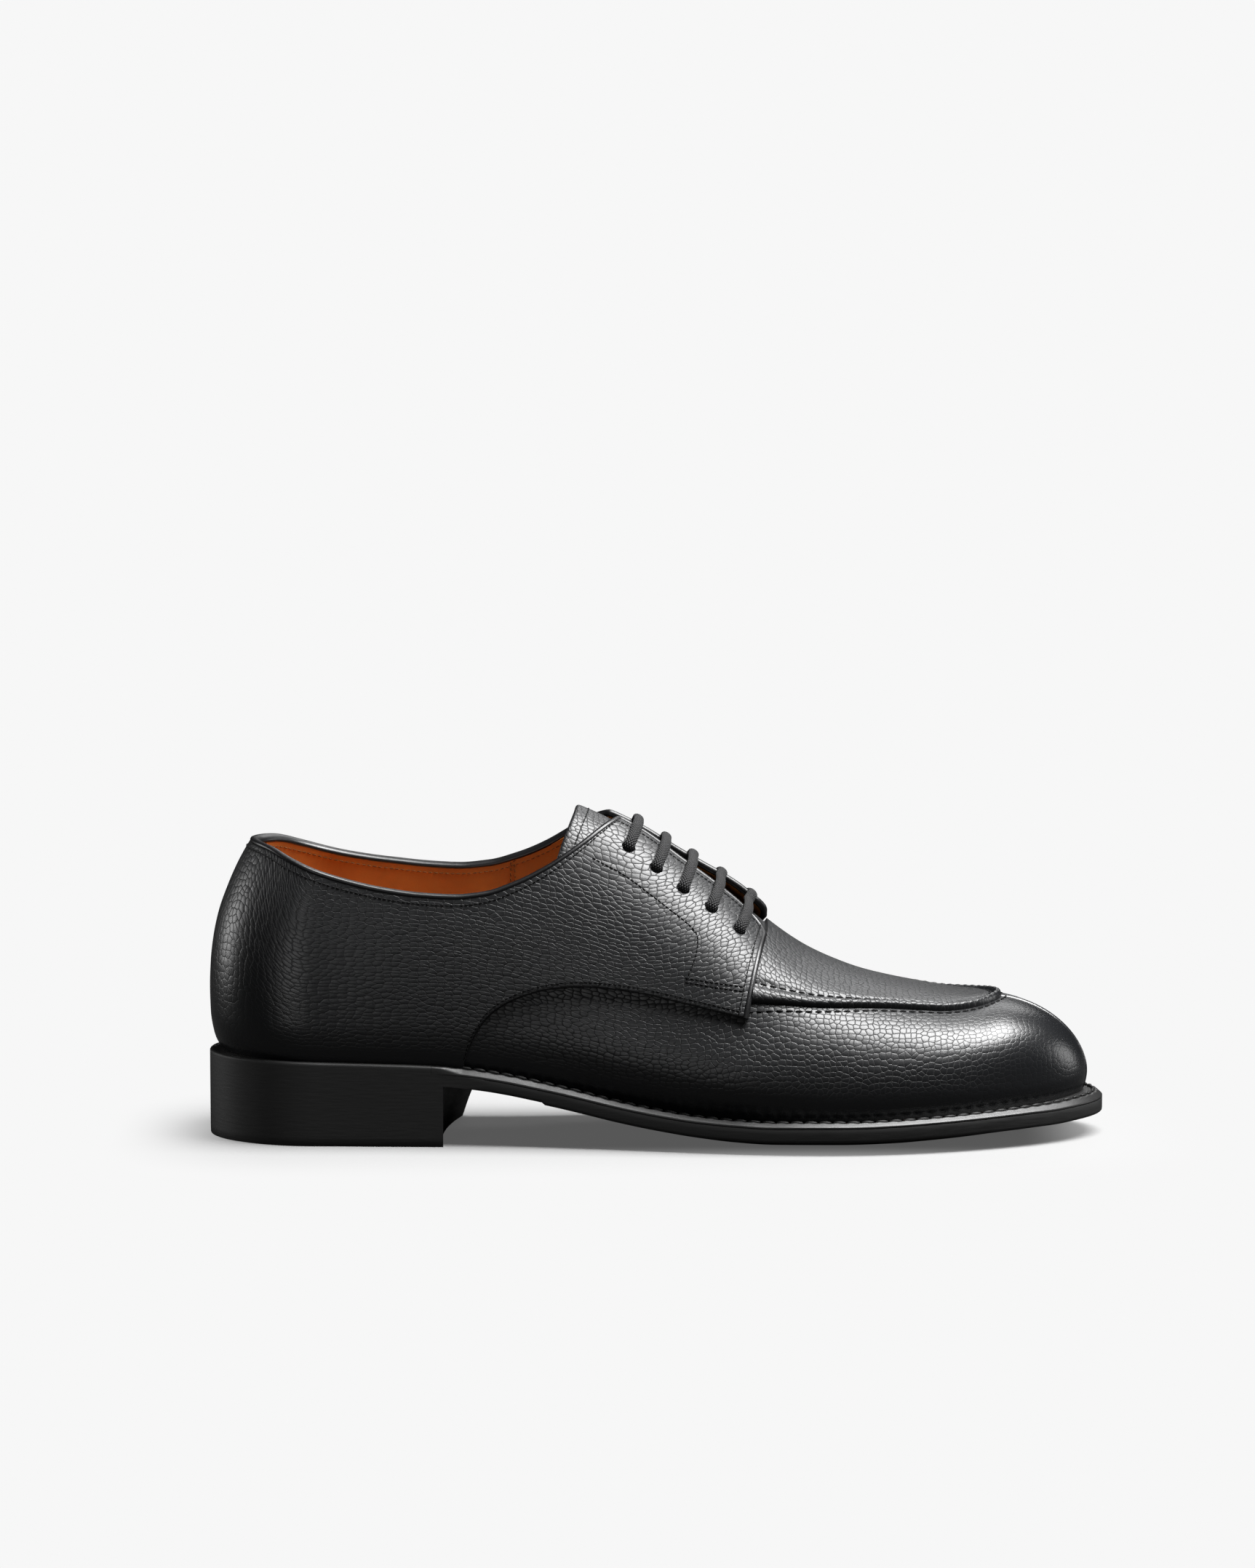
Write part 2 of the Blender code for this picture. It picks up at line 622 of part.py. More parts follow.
def make_apron(finish):
    """The plug over the toes: a panel whose outer edge stands up as a lip."""
    rows = [0.0, APRON_LIP_WIDTH / 2, APRON_LIP_WIDTH, APRON_LIP_WIDTH * 3 / 2]
    heights = [APRON_LIP_EDGE, APRON_LIP, APRON_LIP, APRON_BODY]
    forward = spread(APRON_BACK, APRON_FRONT - APRON_ROUND, 8)[:-1]
    forward += [APRON_FRONT - APRON_ROUND * (1 - math.sin(a)) for a in spread(0, math.pi / 2, 8)]
    border = [(x, apron_half(x, LATERAL)) for x in forward]
    border += [(x, apron_half(x, MEDIAL)) for x in reversed(forward[:-1])]
    outer, inner = [], []
    for x, y in border:
        spine_x = min(x, APRON_SPINE_END)
        reach = math.hypot(x - spine_x, y)
        edge_share = rows[-1] / reach
        shares = [r / reach for r in rows] + spread(edge_share, 1, APRON_ROWS + 1)[1:]
        lifts = heights + [APRON_BODY] * APRON_ROWS
        plan = [(x + (spine_x - x) * s, y * (1 - s)) for s in shares]
        plan = [(px - apron_sweep(px, py), py) for px, py in plan]
        outer.append([plan_point(px, py, APRON_BED + lift) for (px, py), lift in zip(plan, lifts)])
        inner.append([plan_point(px, py, APRON_BED) for px, py in plan])
    made = Shell()
    top, under = made.grid(outer), made.grid(inner)
    made.strip([row[0] for row in top], [row[0] for row in under])
    made.strip(top[0], under[0])
    made.strip(top[-1], under[-1])
    return add_piece("apron", made.points, made.faces, finish)


def make_toe_seam(finish):
    """The split toe's raised seam, from the apron's front down the middle of the toe to the welt."""
    start, end = station_t(TOE_SEAM_START), 3.0
    made = Shell()
    rows = []
    down = [(t, math.pi / 2) for t in spread(start, end, 9)]
    down += [(end, a) for a in spread(math.pi / 2, -math.pi / 2, 7)[1:]]
    for t, angle in down:
        middle = last_point(t, angle, MEDIAL, LAP)
        normal = last_normal(t, angle, MEDIAL)
        side = Vector((0, TOE_SEAM_HALF, 0))
        crown = side * TOE_SEAM_CROWN
        lift = normal * TOE_SEAM_HEIGHT
        rows.append([middle - side, middle - crown + lift, middle + crown + lift, middle + side])
    index = made.grid(rows, closed=True)
    made.faces.append(tuple(index[0]))
    made.faces.append(tuple(index[-1]))
    return add_piece("toe_seam", made.points, made.faces, finish)


# Tongue, eyelets and laces.
def make_tongue(finish):
    outer, inner = [], []
    for k in spread(-1, 1, 11):
        back = TONGUE_TOP - TONGUE_SWEEP * k * k
        line = [(x, k * tongue_half(x)) for x in spread(back, TONGUE_FRONT, 10)]
        outer.append([plan_point(x, y, -TONGUE_DROP) for x, y in line])
        inner.append([plan_point(x, y, -TONGUE_DROP - TONGUE_THICK) for x, y in line])
    made = Shell()
    made.thick(outer, inner)
    return add_piece("tongue", made.points, made.faces, finish)


def eyelet_x(i):
    return EYELET_FIRST + EYELET_PITCH * i


def cut_eyelets(pieces):
    """Punches the lace holes straight through the facings."""
    made = Shell()
    sides = 8
    for i in range(EYELET_COUNT):
        for side in (LATERAL, MEDIAL):
            t = station_t(eyelet_x(i))
            angle = theta_at_width(t, side, eyelet_width[side](eyelet_x(i)))
            axis = last_normal(t, angle, side)
            level = axis.orthogonal().normalized()
            beside = axis.cross(level)
            rows = []
            for depth in (-PUNCH_REACH, LAP + QUARTER_THICK + PUNCH_REACH):
                middle = last_point(t, angle, side, depth)
                turn = [2 * math.pi * n / sides for n in range(sides)]
                spokes = [math.cos(a) * level + math.sin(a) * beside for a in turn]
                rows.append([middle + EYELET_RADIUS * spoke for spoke in spokes])
            index = made.grid(rows, closed=True)
            made.faces.append(tuple(index[0]))
            made.faces.append(tuple(index[-1]))
    cutter = add_piece("eyelet_punch", made.points, made.faces, pieces[0].data.materials[0])
    cutter.hide_render = True
    cutter.display_type = "WIRE"
    for piece in pieces:
        punch = piece.modifiers.new("eyelets", "BOOLEAN")
        punch.operation = "DIFFERENCE"
        punch.solver = "EXACT"
        punch.object = cutter


def lace_route(i):
    """Centre line of one lace bar, out of one eyelet, over the facings and into the other."""
    x = eyelet_x(i)
    route = []
    for side in (LATERAL, MEDIAL):
        reach = eyelet_width[side](x)
        part = [(reach - inward, lift) for inward, lift in LACE_BEND]
        part += [(reach * share, LACE_LIFT - LACE_SAG * sag) for share, sag in LACE_BAR]
        if side == MEDIAL:
            part = [(0.0, LACE_LIFT - LACE_SAG)] + part[::-1]
        for y, lift in part:
            lean = LACE_LEAN * (1 - (y / reach) ** 2)
            route.append(plan_point(x + lean, side * y, lift))
    return route


def make_lace(i, finish):
    curve = bpy.data.curves.new(f"lace_bar_{i + 1}", "CURVE")
    curve.dimensions = "3D"
    curve.bevel_depth = LACE_RADIUS * MM
    curve.bevel_resolution = 1
    curve.use_fill_caps = True
    line = curve.splines.new("POLY")
    route = lace_route(i)
    line.points.add(len(route) - 1)
    for point, place in zip(line.points, route):
        point.co = (*(place * MM), 1)
    curve.materials.append(finish)
    piece = bpy.data.objects.new(f"lace_bar_{i + 1}", curve)
    piece.parent = shoe
    bpy.context.collection.objects.link(piece)


# Assembly.
for leftover in list(bpy.data.objects):
    bpy.data.objects.remove(leftover)

shoe = bpy.data.objects.new("shoe", None)
bpy.context.collection.objects.link(shoe)

black_leather = material("black_grain_leather", (0.012, 0.012, 0.013), 0.45)
edge_leather = material("black_edge_leather", (0.010, 0.010, 0.011), 0.40)
black_rubber = material("black_rubber", (0.014, 0.014, 0.014), 0.75)
tan_leather = material("tan_lining_leather", (0.46, 0.19, 0.05), 0.55)
waxed_cotton = material("waxed_black_cotton", (0.016, 0.016, 0.018), 0.60)

make_outsole(black_rubber)
make_heel(edge_leather, black_rubber)
make_welt(edge_leather)
make_rand(edge_leather)
make_insole(tan_leather)
wall = make_upper(black_leather)
lateral_panel = make_quarter("quarter_lateral", LATERAL, black_leather)
medial_panel = make_quarter("quarter_medial", MEDIAL, black_leather)
cut_eyelets([wall, lateral_panel, medial_panel])
make_apron(black_leather)
make_toe_seam(black_leather)
make_tongue(black_leather)
for bar in range(EYELET_COUNT):
    make_lace(bar, waxed_cotton)

# The box of the whole shoe is centred on the origin. The sole's edge is its widest outline.
edge_stations = spread(0, 3, 601)
widest_lateral = min(sole_edge(t, LATERAL).y for t in edge_stations)
widest_medial = max(sole_edge(t, MEDIAL).y for t in edge_stations)
shoe.location = Vector((-LENGTH / 2, -(widest_lateral + widest_medial) / 2, 0)) * MM
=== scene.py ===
"""Looks of a black apron-front derby for the right foot, dressed over its CAD pieces.

Leather panels, linings, beaded edges, seams and the sole's edges are worked out from the same last as the
CAD solids. Lengths are in millimetres, measured from the back of the heel along x, from the shoe's long axis
along y (lateral is negative) and from the floor along z, until a mesh is made in the row frame in metres.
"""

import math
from collections import namedtuple

import bmesh
import bpy
import numpy as np
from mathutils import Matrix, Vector


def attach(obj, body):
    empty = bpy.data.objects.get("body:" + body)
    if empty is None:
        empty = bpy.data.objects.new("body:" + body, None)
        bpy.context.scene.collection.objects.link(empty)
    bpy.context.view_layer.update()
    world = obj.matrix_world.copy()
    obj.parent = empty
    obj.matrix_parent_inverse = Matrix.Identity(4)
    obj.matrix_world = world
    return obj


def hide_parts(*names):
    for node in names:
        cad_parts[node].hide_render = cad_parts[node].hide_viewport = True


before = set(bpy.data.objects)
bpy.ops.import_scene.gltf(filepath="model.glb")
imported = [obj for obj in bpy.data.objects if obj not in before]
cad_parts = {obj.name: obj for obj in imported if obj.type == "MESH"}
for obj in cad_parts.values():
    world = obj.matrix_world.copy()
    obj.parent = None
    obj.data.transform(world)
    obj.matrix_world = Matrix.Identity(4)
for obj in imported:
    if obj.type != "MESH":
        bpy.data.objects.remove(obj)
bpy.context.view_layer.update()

MM = 0.001
LATERAL = -1
MEDIAL = 1
RIGHT_ANGLE = math.pi / 2

# The last: upright sections along the foot.
LENGTH = 302.0
HEEL_X = 8.0
HEEL_ARC = 30.0
TOE_X = 293.3
TOE_ARC = 62.0
TOE_POWER = 2.4
TOE_RISE_ARC = 36.0
TOE_RISE_POWER = 1.8
TOE_WALL_TOP = 21.5
TUCK = 2.6
BELLY_MOST = 0.6
GAP = 0.3

Section = namedtuple("Section", "x lateral medial swing ridge belly square")
LAST = [
    Section(8, 28.0, 27.5, 0.0, 125.0, 13.0, 2.00),
    Section(38, 28.0, 27.5, 0.0, 126.0, 13.0, 2.00),
    Section(60, 28.8, 27.6, 0.0, 125.5, 14.0, 2.00),
    Section(85, 29.6, 27.0, 0.0, 122.5, 15.0, 2.00),
    Section(110, 31.5, 26.2, 0.2, 117.8, 16.0, 2.00),
    Section(125, 33.7, 26.8, 0.4, 112.5, 16.0, 2.00),
    Section(135, 35.4, 28.0, 0.6, 108.0, 15.0, 2.02),
    Section(145, 37.4, 29.8, 0.8, 102.0, 14.0, 2.04),
    Section(155, 39.6, 32.2, 1.0, 94.8, 13.0, 2.06),
    Section(165, 41.9, 35.0, 1.2, 87.8, 12.0, 2.08),
    Section(175, 44.0, 38.0, 1.4, 79.9, 11.0, 2.10),
    Section(185, 45.7, 40.8, 1.5, 70.6, 10.0, 2.14),
    Section(200, 47.2, 44.0, 1.6, 59.9, 9.5, 2.20),
    Section(210, 47.5, 45.0, 1.7, 55.0, 9.0, 2.26),
    Section(220, 47.0, 45.3, 1.8, 51.2, 9.0, 2.34),
    Section(230, 45.6, 44.8, 1.9, 48.6, 9.0, 2.42),
    Section(240, 43.4, 43.2, 2.0, 46.6, 9.0, 2.46),
    Section(250, 41.0, 41.4, 2.0, 44.9, 8.8, 2.46),
    Section(260, 38.5, 39.5, 2.0, 44.3, 8.5, 2.46),
    Section(270, 36.1, 37.3, 1.9, 45.6, 8.0, 2.44),
    Section(295, 30.0, 31.0, 1.5, 46.6, 6.0, 2.30),
]
HEEL_CURVE = [(0, 0.0), (6, -2.9), (13, -4.0), (21, -4.2), (29, -3.9), (37, -3.0), (45, -1.3),
              (54, 1.9), (61, 5.0), (66, 7.7), (70, 10.2), (76, 14.2)]
HEEL_CURVE_FADE = (8.0, 62.0)
TOE_CURVE = [(0, 0.0), (3, 0.9), (6, 1.3), (10, 1.1), (40, 0.0)]
TOE_CURVE_FADE = (293.3, 258.0)

# The sole.
ROCKER = [(0, 21.6), (40, 20.8), (80, 19.7), (100, 17.2), (113, 14.3), (125, 11.3), (137, 8.1), (150, 5.1),
          (165, 2.3), (178, 0.6), (190, 0.0), (212, 0.0), (230, 0.4), (245, 1.4), (260, 2.9),
          (275, 5.0), (288, 6.6), (302, 7.3)]
CAMBER = [(0, 0.0), (100, 0.0), (120, 0.8), (140, 1.8), (160, 3.0), (180, 4.4), (215, 4.8), (230, 4.8),
          (245, 4.3), (260, 3.2), (275, 1.3), (288, 0.0), (302, 0.0)]
CAMBER_FLAT = 0.35
OUTSOLE_THICK = 4.6
WELT_THICK = 2.4
INSOLE_RISE = 1.2
TREAD_STEP = 0.7
TREAD_START = 113.0
TREAD_SLOPE = 0.4
EDGE_REACH = [(8, 8.0), (20, 6.6), (40, 6.2), (85, 6.4), (130, 7.2), (180, 7.6), (240, 7.8), (293.3, 8.7)]
WELT_START = 76.0
BREAST_LATERAL = 80.0
BREAST_HOLLOW = 2.8
BREAST_SLANT = [(0, 84.4), (6, 86.4), (11, 88.4), (14, 88.7), (22, 88.7)]
TOP_PIECE_THICK = 6.0

# Collar, throat and quarters.
COLLAR = [(8, 97.8), (14, 96.8), (24, 93.7), (36, 90.1), (48, 87.2), (60, 84.8), (72, 83.2), (84, 82.6),
          (94, 83.6), (104, 86.8), (114, 91.4), (124, 97.4), (132, 102.8), (142, 110.4), (300, 160.0)]
MEDIAL_COLLAR_LIFT = [(8, 0.0), (40, 2.5), (70, 4.2), (90, 4.2), (115, 3.4), (150, 3.4)]
FACING_START = 120.0
LATERAL_GAP = [(120, 8.5), (145, 8.2), (163, 10.6), (176, 11.8), (181, 12.6), (183.8, 14.8), (185, 18.0)]
MEDIAL_GAP = [(120, 8.5), (145, 8.2), (163, 8.8), (176, 7.0), (181, 7.0), (183.8, 9.0), (185, 12.5)]
CORNER_BLEND = math.radians(14)
WALL_CORNER_BLEND = math.radians(20)
THROAT_SETBACK = 1.0
THROAT_END = 183.0
THROAT_ROUND = 8.0
VAMP_LINE = [(86.8, 27.0), (88.4, 33.4), (91.8, 40.2), (97.8, 46.2), (106, 50.4), (116, 53.0), (126, 53.8),
             (140, 52.8), (160, 48.8), (180, 44.0)]
QUARTER_LEAN = [(8, 8), (60, 60), (80, 80), (86.8, 87.2), (100, 106.5), (120, 132.5), (140, 151),
                (160, 168.6), (172, 179.4), (180, 185.0)]
QUARTER_FRONT = 180.0

# Apron and toe seam.
APRON_BACK = 186.4
APRON_FRONT = 267.5
APRON_ROUND = 34.0
APRON_WIDTH = [(180, 40.0), (190, 39.3), (200, 37.8), (210, 35.2), (220, 32.0), (230, 29.0), (240, 26.4),
               (268, 21.0)]
APRON_SWEEP = 4.6
APRON_SWEEP_FROM = 14.0
APRON_POWER = 2.3
APRON_SPINE_END = 245.0
TOE_SEAM_START = 268.6

# Eyelets, laces and tongue.
EYELET_COUNT = 5
EYELET_FIRST = 140.4
EYELET_PITCH = 9.1
LATERAL_EYELETS = [(140.4, 17.0), (158.6, 21.2), (176.8, 24.9)]
MEDIAL_EYELETS = [(140.4, 17.0), (158.6, 19.0), (176.8, 19.6)]
LACE_LIFT = 4.9
LACE_SAG = 1.2
LACE_BEND = [(0.0, 1.0), (0.0, 2.6), (0.4, 3.9), (1.6, 4.7), (3.6, LACE_LIFT)]
LACE_BAR = [(0.56, 0.0), (0.28, 2 / 3)]  # share of the way out from the ridge, then share of the sag
LACE_CLIMB = 6.0
LACE_LEAN = 2.6
LACE_WIDTH = 3.8
LACE_THICK = 2.3
EYELET_RADIUS = 2.2
EYELET_DEPTHS = (-1.5, 8.0)
TONGUE_FRONT = 193.0
TONGUE_TOP = 124.6
TONGUE_SWEEP = 7.0
TONGUE_HALF = [(118, 21.5), (140, 23.5), (193, 25.0)]
TONGUE_OUTSIDE = -1.3
TONGUE_INSIDE = -3.9
TONGUE_ROUND = 1.1

# Layers of the upper, by height over the last.
LINING_TOP = 0.7
LAYER_GAP = 0.02
VAMP_TOP = 1.8
QUARTER_UNDER = 1.85
QUARTER_TOP = 3.65
EDGE_ROUND = 0.8


class Curve:
    """A smooth curve through given points that never overshoots them."""

    def __init__(self, points):
        self.xs, self.ys = np.array(points, float).T
        runs = np.diff(self.xs)
        rises = np.diff(self.ys) / runs
        before, after = rises[:-1], rises[1:]
        level = before * after <= 0
        first = 2 * runs[1:] + runs[:-1]
        second = runs[1:] + 2 * runs[:-1]
        mean = (first + second) / (first / np.where(level, 1, before) + second / np.where(level, 1, after))
        self.slopes = np.concatenate([rises[:1], np.where(level, 0, mean), rises[-1:]])

    def __call__(self, x):
        x = np.clip(x, self.xs[0], self.xs[-1])
        i = np.clip(np.searchsorted(self.xs, x) - 1, 0, len(self.xs) - 2)
        h = self.xs[i + 1] - self.xs[i]
        s = (x - self.xs[i]) / h
        start = self.ys[i] * (1 + 2 * s) * (1 - s) ** 2 + self.slopes[i] * h * s * (1 - s) ** 2
        end = self.ys[i + 1] * s * s * (3 - 2 * s) + self.slopes[i + 1] * h * s * s * (s - 1)
        return start + end


last = {name: Curve([(row.x, getattr(row, name)) for row in LAST]) for name in Section._fields[1:]}
heel_curve, toe_curve = Curve(HEEL_CURVE), Curve(TOE_CURVE)
rocker, camber, edge_reach = Curve(ROCKER), Curve(CAMBER), Curve(EDGE_REACH)
collar, medial_lift = Curve(COLLAR), Curve(MEDIAL_COLLAR_LIFT)
facing_gap = {LATERAL: Curve(LATERAL_GAP), MEDIAL: Curve(MEDIAL_GAP)}
vamp_line, quarter_lean = Curve(VAMP_LINE), Curve(QUARTER_LEAN)
apron_width, tongue_half = Curve(APRON_WIDTH), Curve(TONGUE_HALF)
eyelet_width = {LATERAL: Curve(LATERAL_EYELETS), MEDIAL: Curve(MEDIAL_EYELETS)}


def fade(x, limits):
    """1 at the first limit, 0 past the second, smooth between."""
    s = np.clip((x - limits[0]) / (limits[1] - limits[0]), 0, 1)
    return 1 - s * s * (3 - 2 * s)


# The last's stations run t = 0 to 1 round the heel, 1 to 2 along the foot and 2 to 3 round the toe.
STRAIGHT = TOE_X - TOE_ARC - HEEL_X - HEEL_ARC


def station_x(t):
    heel = HEEL_X + HEEL_ARC * (1 - np.cos(np.clip(t, 0, 1) * RIGHT_ANGLE))
    toe = TOE_ARC * np.sin(np.clip(t - 2, 0, 1) * RIGHT_ANGLE)
    return heel + np.clip(t - 1, 0, 1) * STRAIGHT + toe


def station_t(x):
    """The station whose section stands at x."""
    heel = np.arccos(1 - np.clip((x - HEEL_X) / HEEL_ARC, 0, 1)) / RIGHT_ANGLE
    middle = np.clip((x - HEEL_X - HEEL_ARC) / STRAIGHT, 0, 1)
    return heel + middle + np.arcsin(np.clip((x - TOE_X + TOE_ARC) / TOE_ARC, 0, 1)) / RIGHT_ANGLE


def roundness(t):
    """The share of its full width that a section keeps as the outline closes round heel and toe."""
    toe = np.sqrt(np.maximum(1 - np.sin(np.clip(t - 2, 0, 1) * RIGHT_ANGLE) ** TOE_POWER, 0))
    return np.sin(np.clip(t, 0, 1) * RIGHT_ANGLE) * toe


def half_width(t, side):
    x = station_x(t)
    return np.where(np.asarray(side) == LATERAL, last["lateral"](x), last["medial"](x)) * roundness(t)


def ridge_height(x):
    share = np.clip((x - TOE_X + TOE_RISE_ARC) / TOE_RISE_ARC, 0, 1)
    return TOE_WALL_TOP + (last["ridge"](x) - TOE_WALL_TOP) * (1 - share * share) ** (1 / TOE_RISE_POWER)


def sole_line(x, y):
    """Height of the sole's walking surface: its rocker, and the lift of its edges."""
    share = np.abs(y) / (half_width(station_t(x), np.where(y < 0, LATERAL, MEDIAL)) + edge_reach(x) - TUCK)
    lift = np.maximum(np.minimum(share, 1) - CAMBER_FLAT, 0) / (1 - CAMBER_FLAT)
    return rocker(x) + camber(x) * lift * lift


def under_sole(x, y):
    return sole_line(x, y) + TREAD_STEP * fade(x, (TREAD_START, TREAD_START + TREAD_SLOPE))


def seat_height(x, y):
    return sole_line(x, y) + OUTSOLE_THICK + WELT_THICK + GAP


def section_frame(t, side):
    """Place along the foot, widest half-width, heights of feather, widest level and ridge, corner power."""
    x = station_x(t)
    wide = half_width(t, side)
    foot = seat_height(x, wide) + GAP
    top = ridge_height(x)
    belly = np.minimum(last["belly"](x), BELLY_MOST * (top - foot))
    return x, wide, foot, foot + belly, top, last["square"](x)


def theta_at_height(t, side, z):
    _, _, foot, level, top, square = section_frame(t, side)
    low = -RIGHT_ANGLE * (level - z) / (level - foot)
    high = np.arcsin(np.clip((z - level) / (top - level), 0, 1) ** (square / 2))
    return np.where(z < level, low, high)


def theta_at_width(t, side, y):
    _, wide, _, _, _, square = section_frame(t, side)
    return np.arccos(np.clip(y / np.maximum(wide, 1e-6), 0, 1) ** (square / 2))


def bare_point(t, theta, side):
    """Points of the last. Theta is -90 degrees at the feather line, 0 at the widest level, 90 on top."""
    t, theta = np.broadcast_arrays(np.asarray(t, float), np.asarray(theta, float))
    x, wide, foot, level, top, square = section_frame(t, side)
    s = np.clip(-theta / RIGHT_ANGLE, 0, 1)
    up = np.clip(theta, 0, RIGHT_ANGLE)
    below = theta < 0
    y = np.where(below, wide - TUCK * roundness(t) * s * s, wide * np.maximum(np.cos(up), 0) ** (2 / square))
    z = np.where(below, level - (level - foot) * s, level + (top - level) * np.sin(up) ** (2 / square))
    swing = last["swing"](x)
    x = x + heel_curve(z - foot) * fade(x, HEEL_CURVE_FADE) + toe_curve(z - foot) * fade(x, TOE_CURVE_FADE)
    return np.stack([x, swing + side * y, z], -1)


def unit(vectors):
    return vectors / np.maximum(np.linalg.norm(vectors, axis=-1, keepdims=True), 1e-12)


def last_normal(t, theta, side):
    """Outward normals of the last, turned level at the feather line."""
    t, theta = np.broadcast_arrays(np.asarray(t, float), np.asarray(theta, float))
    step = 1e-3
    t0 = np.clip(t, step, 3 - step)
    a0 = np.clip(theta, -RIGHT_ANGLE + step, RIGHT_ANGLE - step)
    along = bare_point(t0 + step, a0, side) - bare_point(t0 - step, a0, side)
    up = bare_point(t0, a0 + step, side) - bare_point(t0, a0 - step, side)
    normal = np.cross(along, up) * -side
    normal[..., 2] *= np.where(theta < 0, 1 - np.clip(-theta / RIGHT_ANGLE, 0, 1) ** 3, 1)
    middle = (t <= 0) | (t >= 3) | (theta >= RIGHT_ANGLE - 1e-9)
    normal[..., 1] = np.where(middle, 0, normal[..., 1])
    return unit(normal)


def last_point(t, theta, side, offset=0.0):
    return bare_point(t, theta, side) + np.asarray(offset)[..., None] * last_normal(t, theta, side)


def plan_angle(x, y, side):
    """Station and angle over the last, by place along the foot and distance from the ridge."""
    t = station_t(x)
    return t, theta_at_width(t, side, np.abs(y))


def by_side(y, lateral, medial):
    """Points of the side of the foot that each y lies on."""
    return np.where((y < 0)[..., None], lateral, medial)


def plan_point(x, y, offset):
    """Points over the top of the last, on whichever side of the ridge each one lies."""
    x, y, offset = np.broadcast_arrays(np.asarray(x, float), np.asarray(y, float), np.asarray(offset, float))
    return by_side(y, *(last_point(*plan_angle(x, y, side), side, offset) for side in (LATERAL, MEDIAL)))


def edge_point(t, side, reach):
    """Points in plan, so far outside the last's feather line."""
    t = np.asarray(t, float)
    step = 1e-3
    t0 = np.clip(t, step, 3 - step)
    along = bare_point(t0 + step, -RIGHT_ANGLE, side) - bare_point(t0 - step, -RIGHT_ANGLE, side)
    out = np.stack([along[..., 1], -along[..., 0], np.zeros_like(t)], -1) * -side
    out[..., 1] = np.where((t <= 0) | (t >= 3), 0, out[..., 1])
    point = bare_point(t, -RIGHT_ANGLE, side) + np.asarray(reach)[..., None] * unit(out)
    point[..., 2] = 0
    return point


def sole_edge(t, side, inset=0.0):
    return edge_point(t, side, edge_reach(station_x(t)) - inset)


EDGE_STATIONS = np.linspace(0, 3, 601)
MIDDLE = (sole_edge(EDGE_STATIONS, LATERAL)[:, 1].min() + sole_edge(EDGE_STATIONS, MEDIAL)[:, 1].max()) / 2
ROW_SHIFT = np.array([-LENGTH / 2, -MIDDLE, 0])


# Grain coordinates: millimetres along the foot and up or across the last, with the pull of lasting.
GRAIN_MAP = "grain"
GRAIN_T = np.linspace(0, 3, 301)
GRAIN_ANGLE = np.linspace(-RIGHT_ANGLE, RIGHT_ANGLE, 91)
GRAIN_LEVEL = 55
WAIST_PULL = 0.4
WAIST_STRETCH = 0.28
WAIST_END = (140, 190)
WAIST_HEIGHT = (60, 95)
HEEL_PULL = -0.25
HEEL_END = (10, 34)
MEDIAL_GRAIN = 200.0
RIDGE_GRAIN = 500.0


def path_lengths(points, pull=1.0):
    """Lengths along paths to each of their points, stretched by a pull."""
    pull = np.broadcast_to(pull, points.shape[:-1])
    steps = np.linalg.norm(np.diff(points, axis=-2), axis=-1) * (pull[..., 1:] + pull[..., :-1]) / 2
    return np.concatenate([np.zeros(steps.shape[:-1] + (1,)), np.cumsum(steps, axis=-1)], -1)


def grain_table(side):
    """Lengths along side and ridge by station, and up each section by angle, pulled at waist and heel."""
    points = bare_point(GRAIN_T[:, None], GRAIN_ANGLE[None], side)
    x, z = points[..., 0], points[..., 2]
    back = fade(x, HEEL_END)
    waist = (1 - back) * fade(x, WAIST_END)
    up = path_lengths(points, 1 + WAIST_PULL * waist * fade(z, WAIST_HEIGHT) + HEEL_PULL * back)
    along = path_lengths(points[:, GRAIN_LEVEL], 1 - WAIST_STRETCH * waist[:, GRAIN_LEVEL])
    return along, path_lengths(points[:, -1]), up


def between(table, row, column):
    """Values between the rows and columns of a table."""
    i = np.clip(row.astype(int), 0, table.shape[0] - 2)
    j = np.clip(column.astype(int), 0, table.shape[1] - 2)
    a, c = row - i, column - j
    near = table[i, j] * (1 - c) + table[i, j + 1] * c
    far = table[i + 1, j] * (1 - c) + table[i + 1, j + 1] * c
    return near * (1 - a) + far * a


def grain_coords(t, angle, side, from_ridge=False):
    """Where the leather's grain lies, measured up from the feather line or out from the ridge."""
    t, angle = np.broadcast_arrays(np.asarray(t, float), np.asarray(angle, float))
    along, ridge, up = grain_table(side)
    row = t / 3 * (len(GRAIN_T) - 1)
    height = between(up, row, (angle + RIGHT_ANGLE) / (2 * RIGHT_ANGLE) * (len(GRAIN_ANGLE) - 1))
    if from_ridge:
        top = np.interp(t, GRAIN_T, up[:, -1])
        return np.stack([np.interp(t, GRAIN_T, ridge), RIDGE_GRAIN + side * (top - height)], -1)
    return np.stack([np.interp(t, GRAIN_T, along), height + MEDIAL_GRAIN * (side == MEDIAL)], -1)


def plan_coords(x, y):
    return by_side(y, *(grain_coords(*plan_angle(x, y, side), side, True) for side in (LATERAL, MEDIAL)))


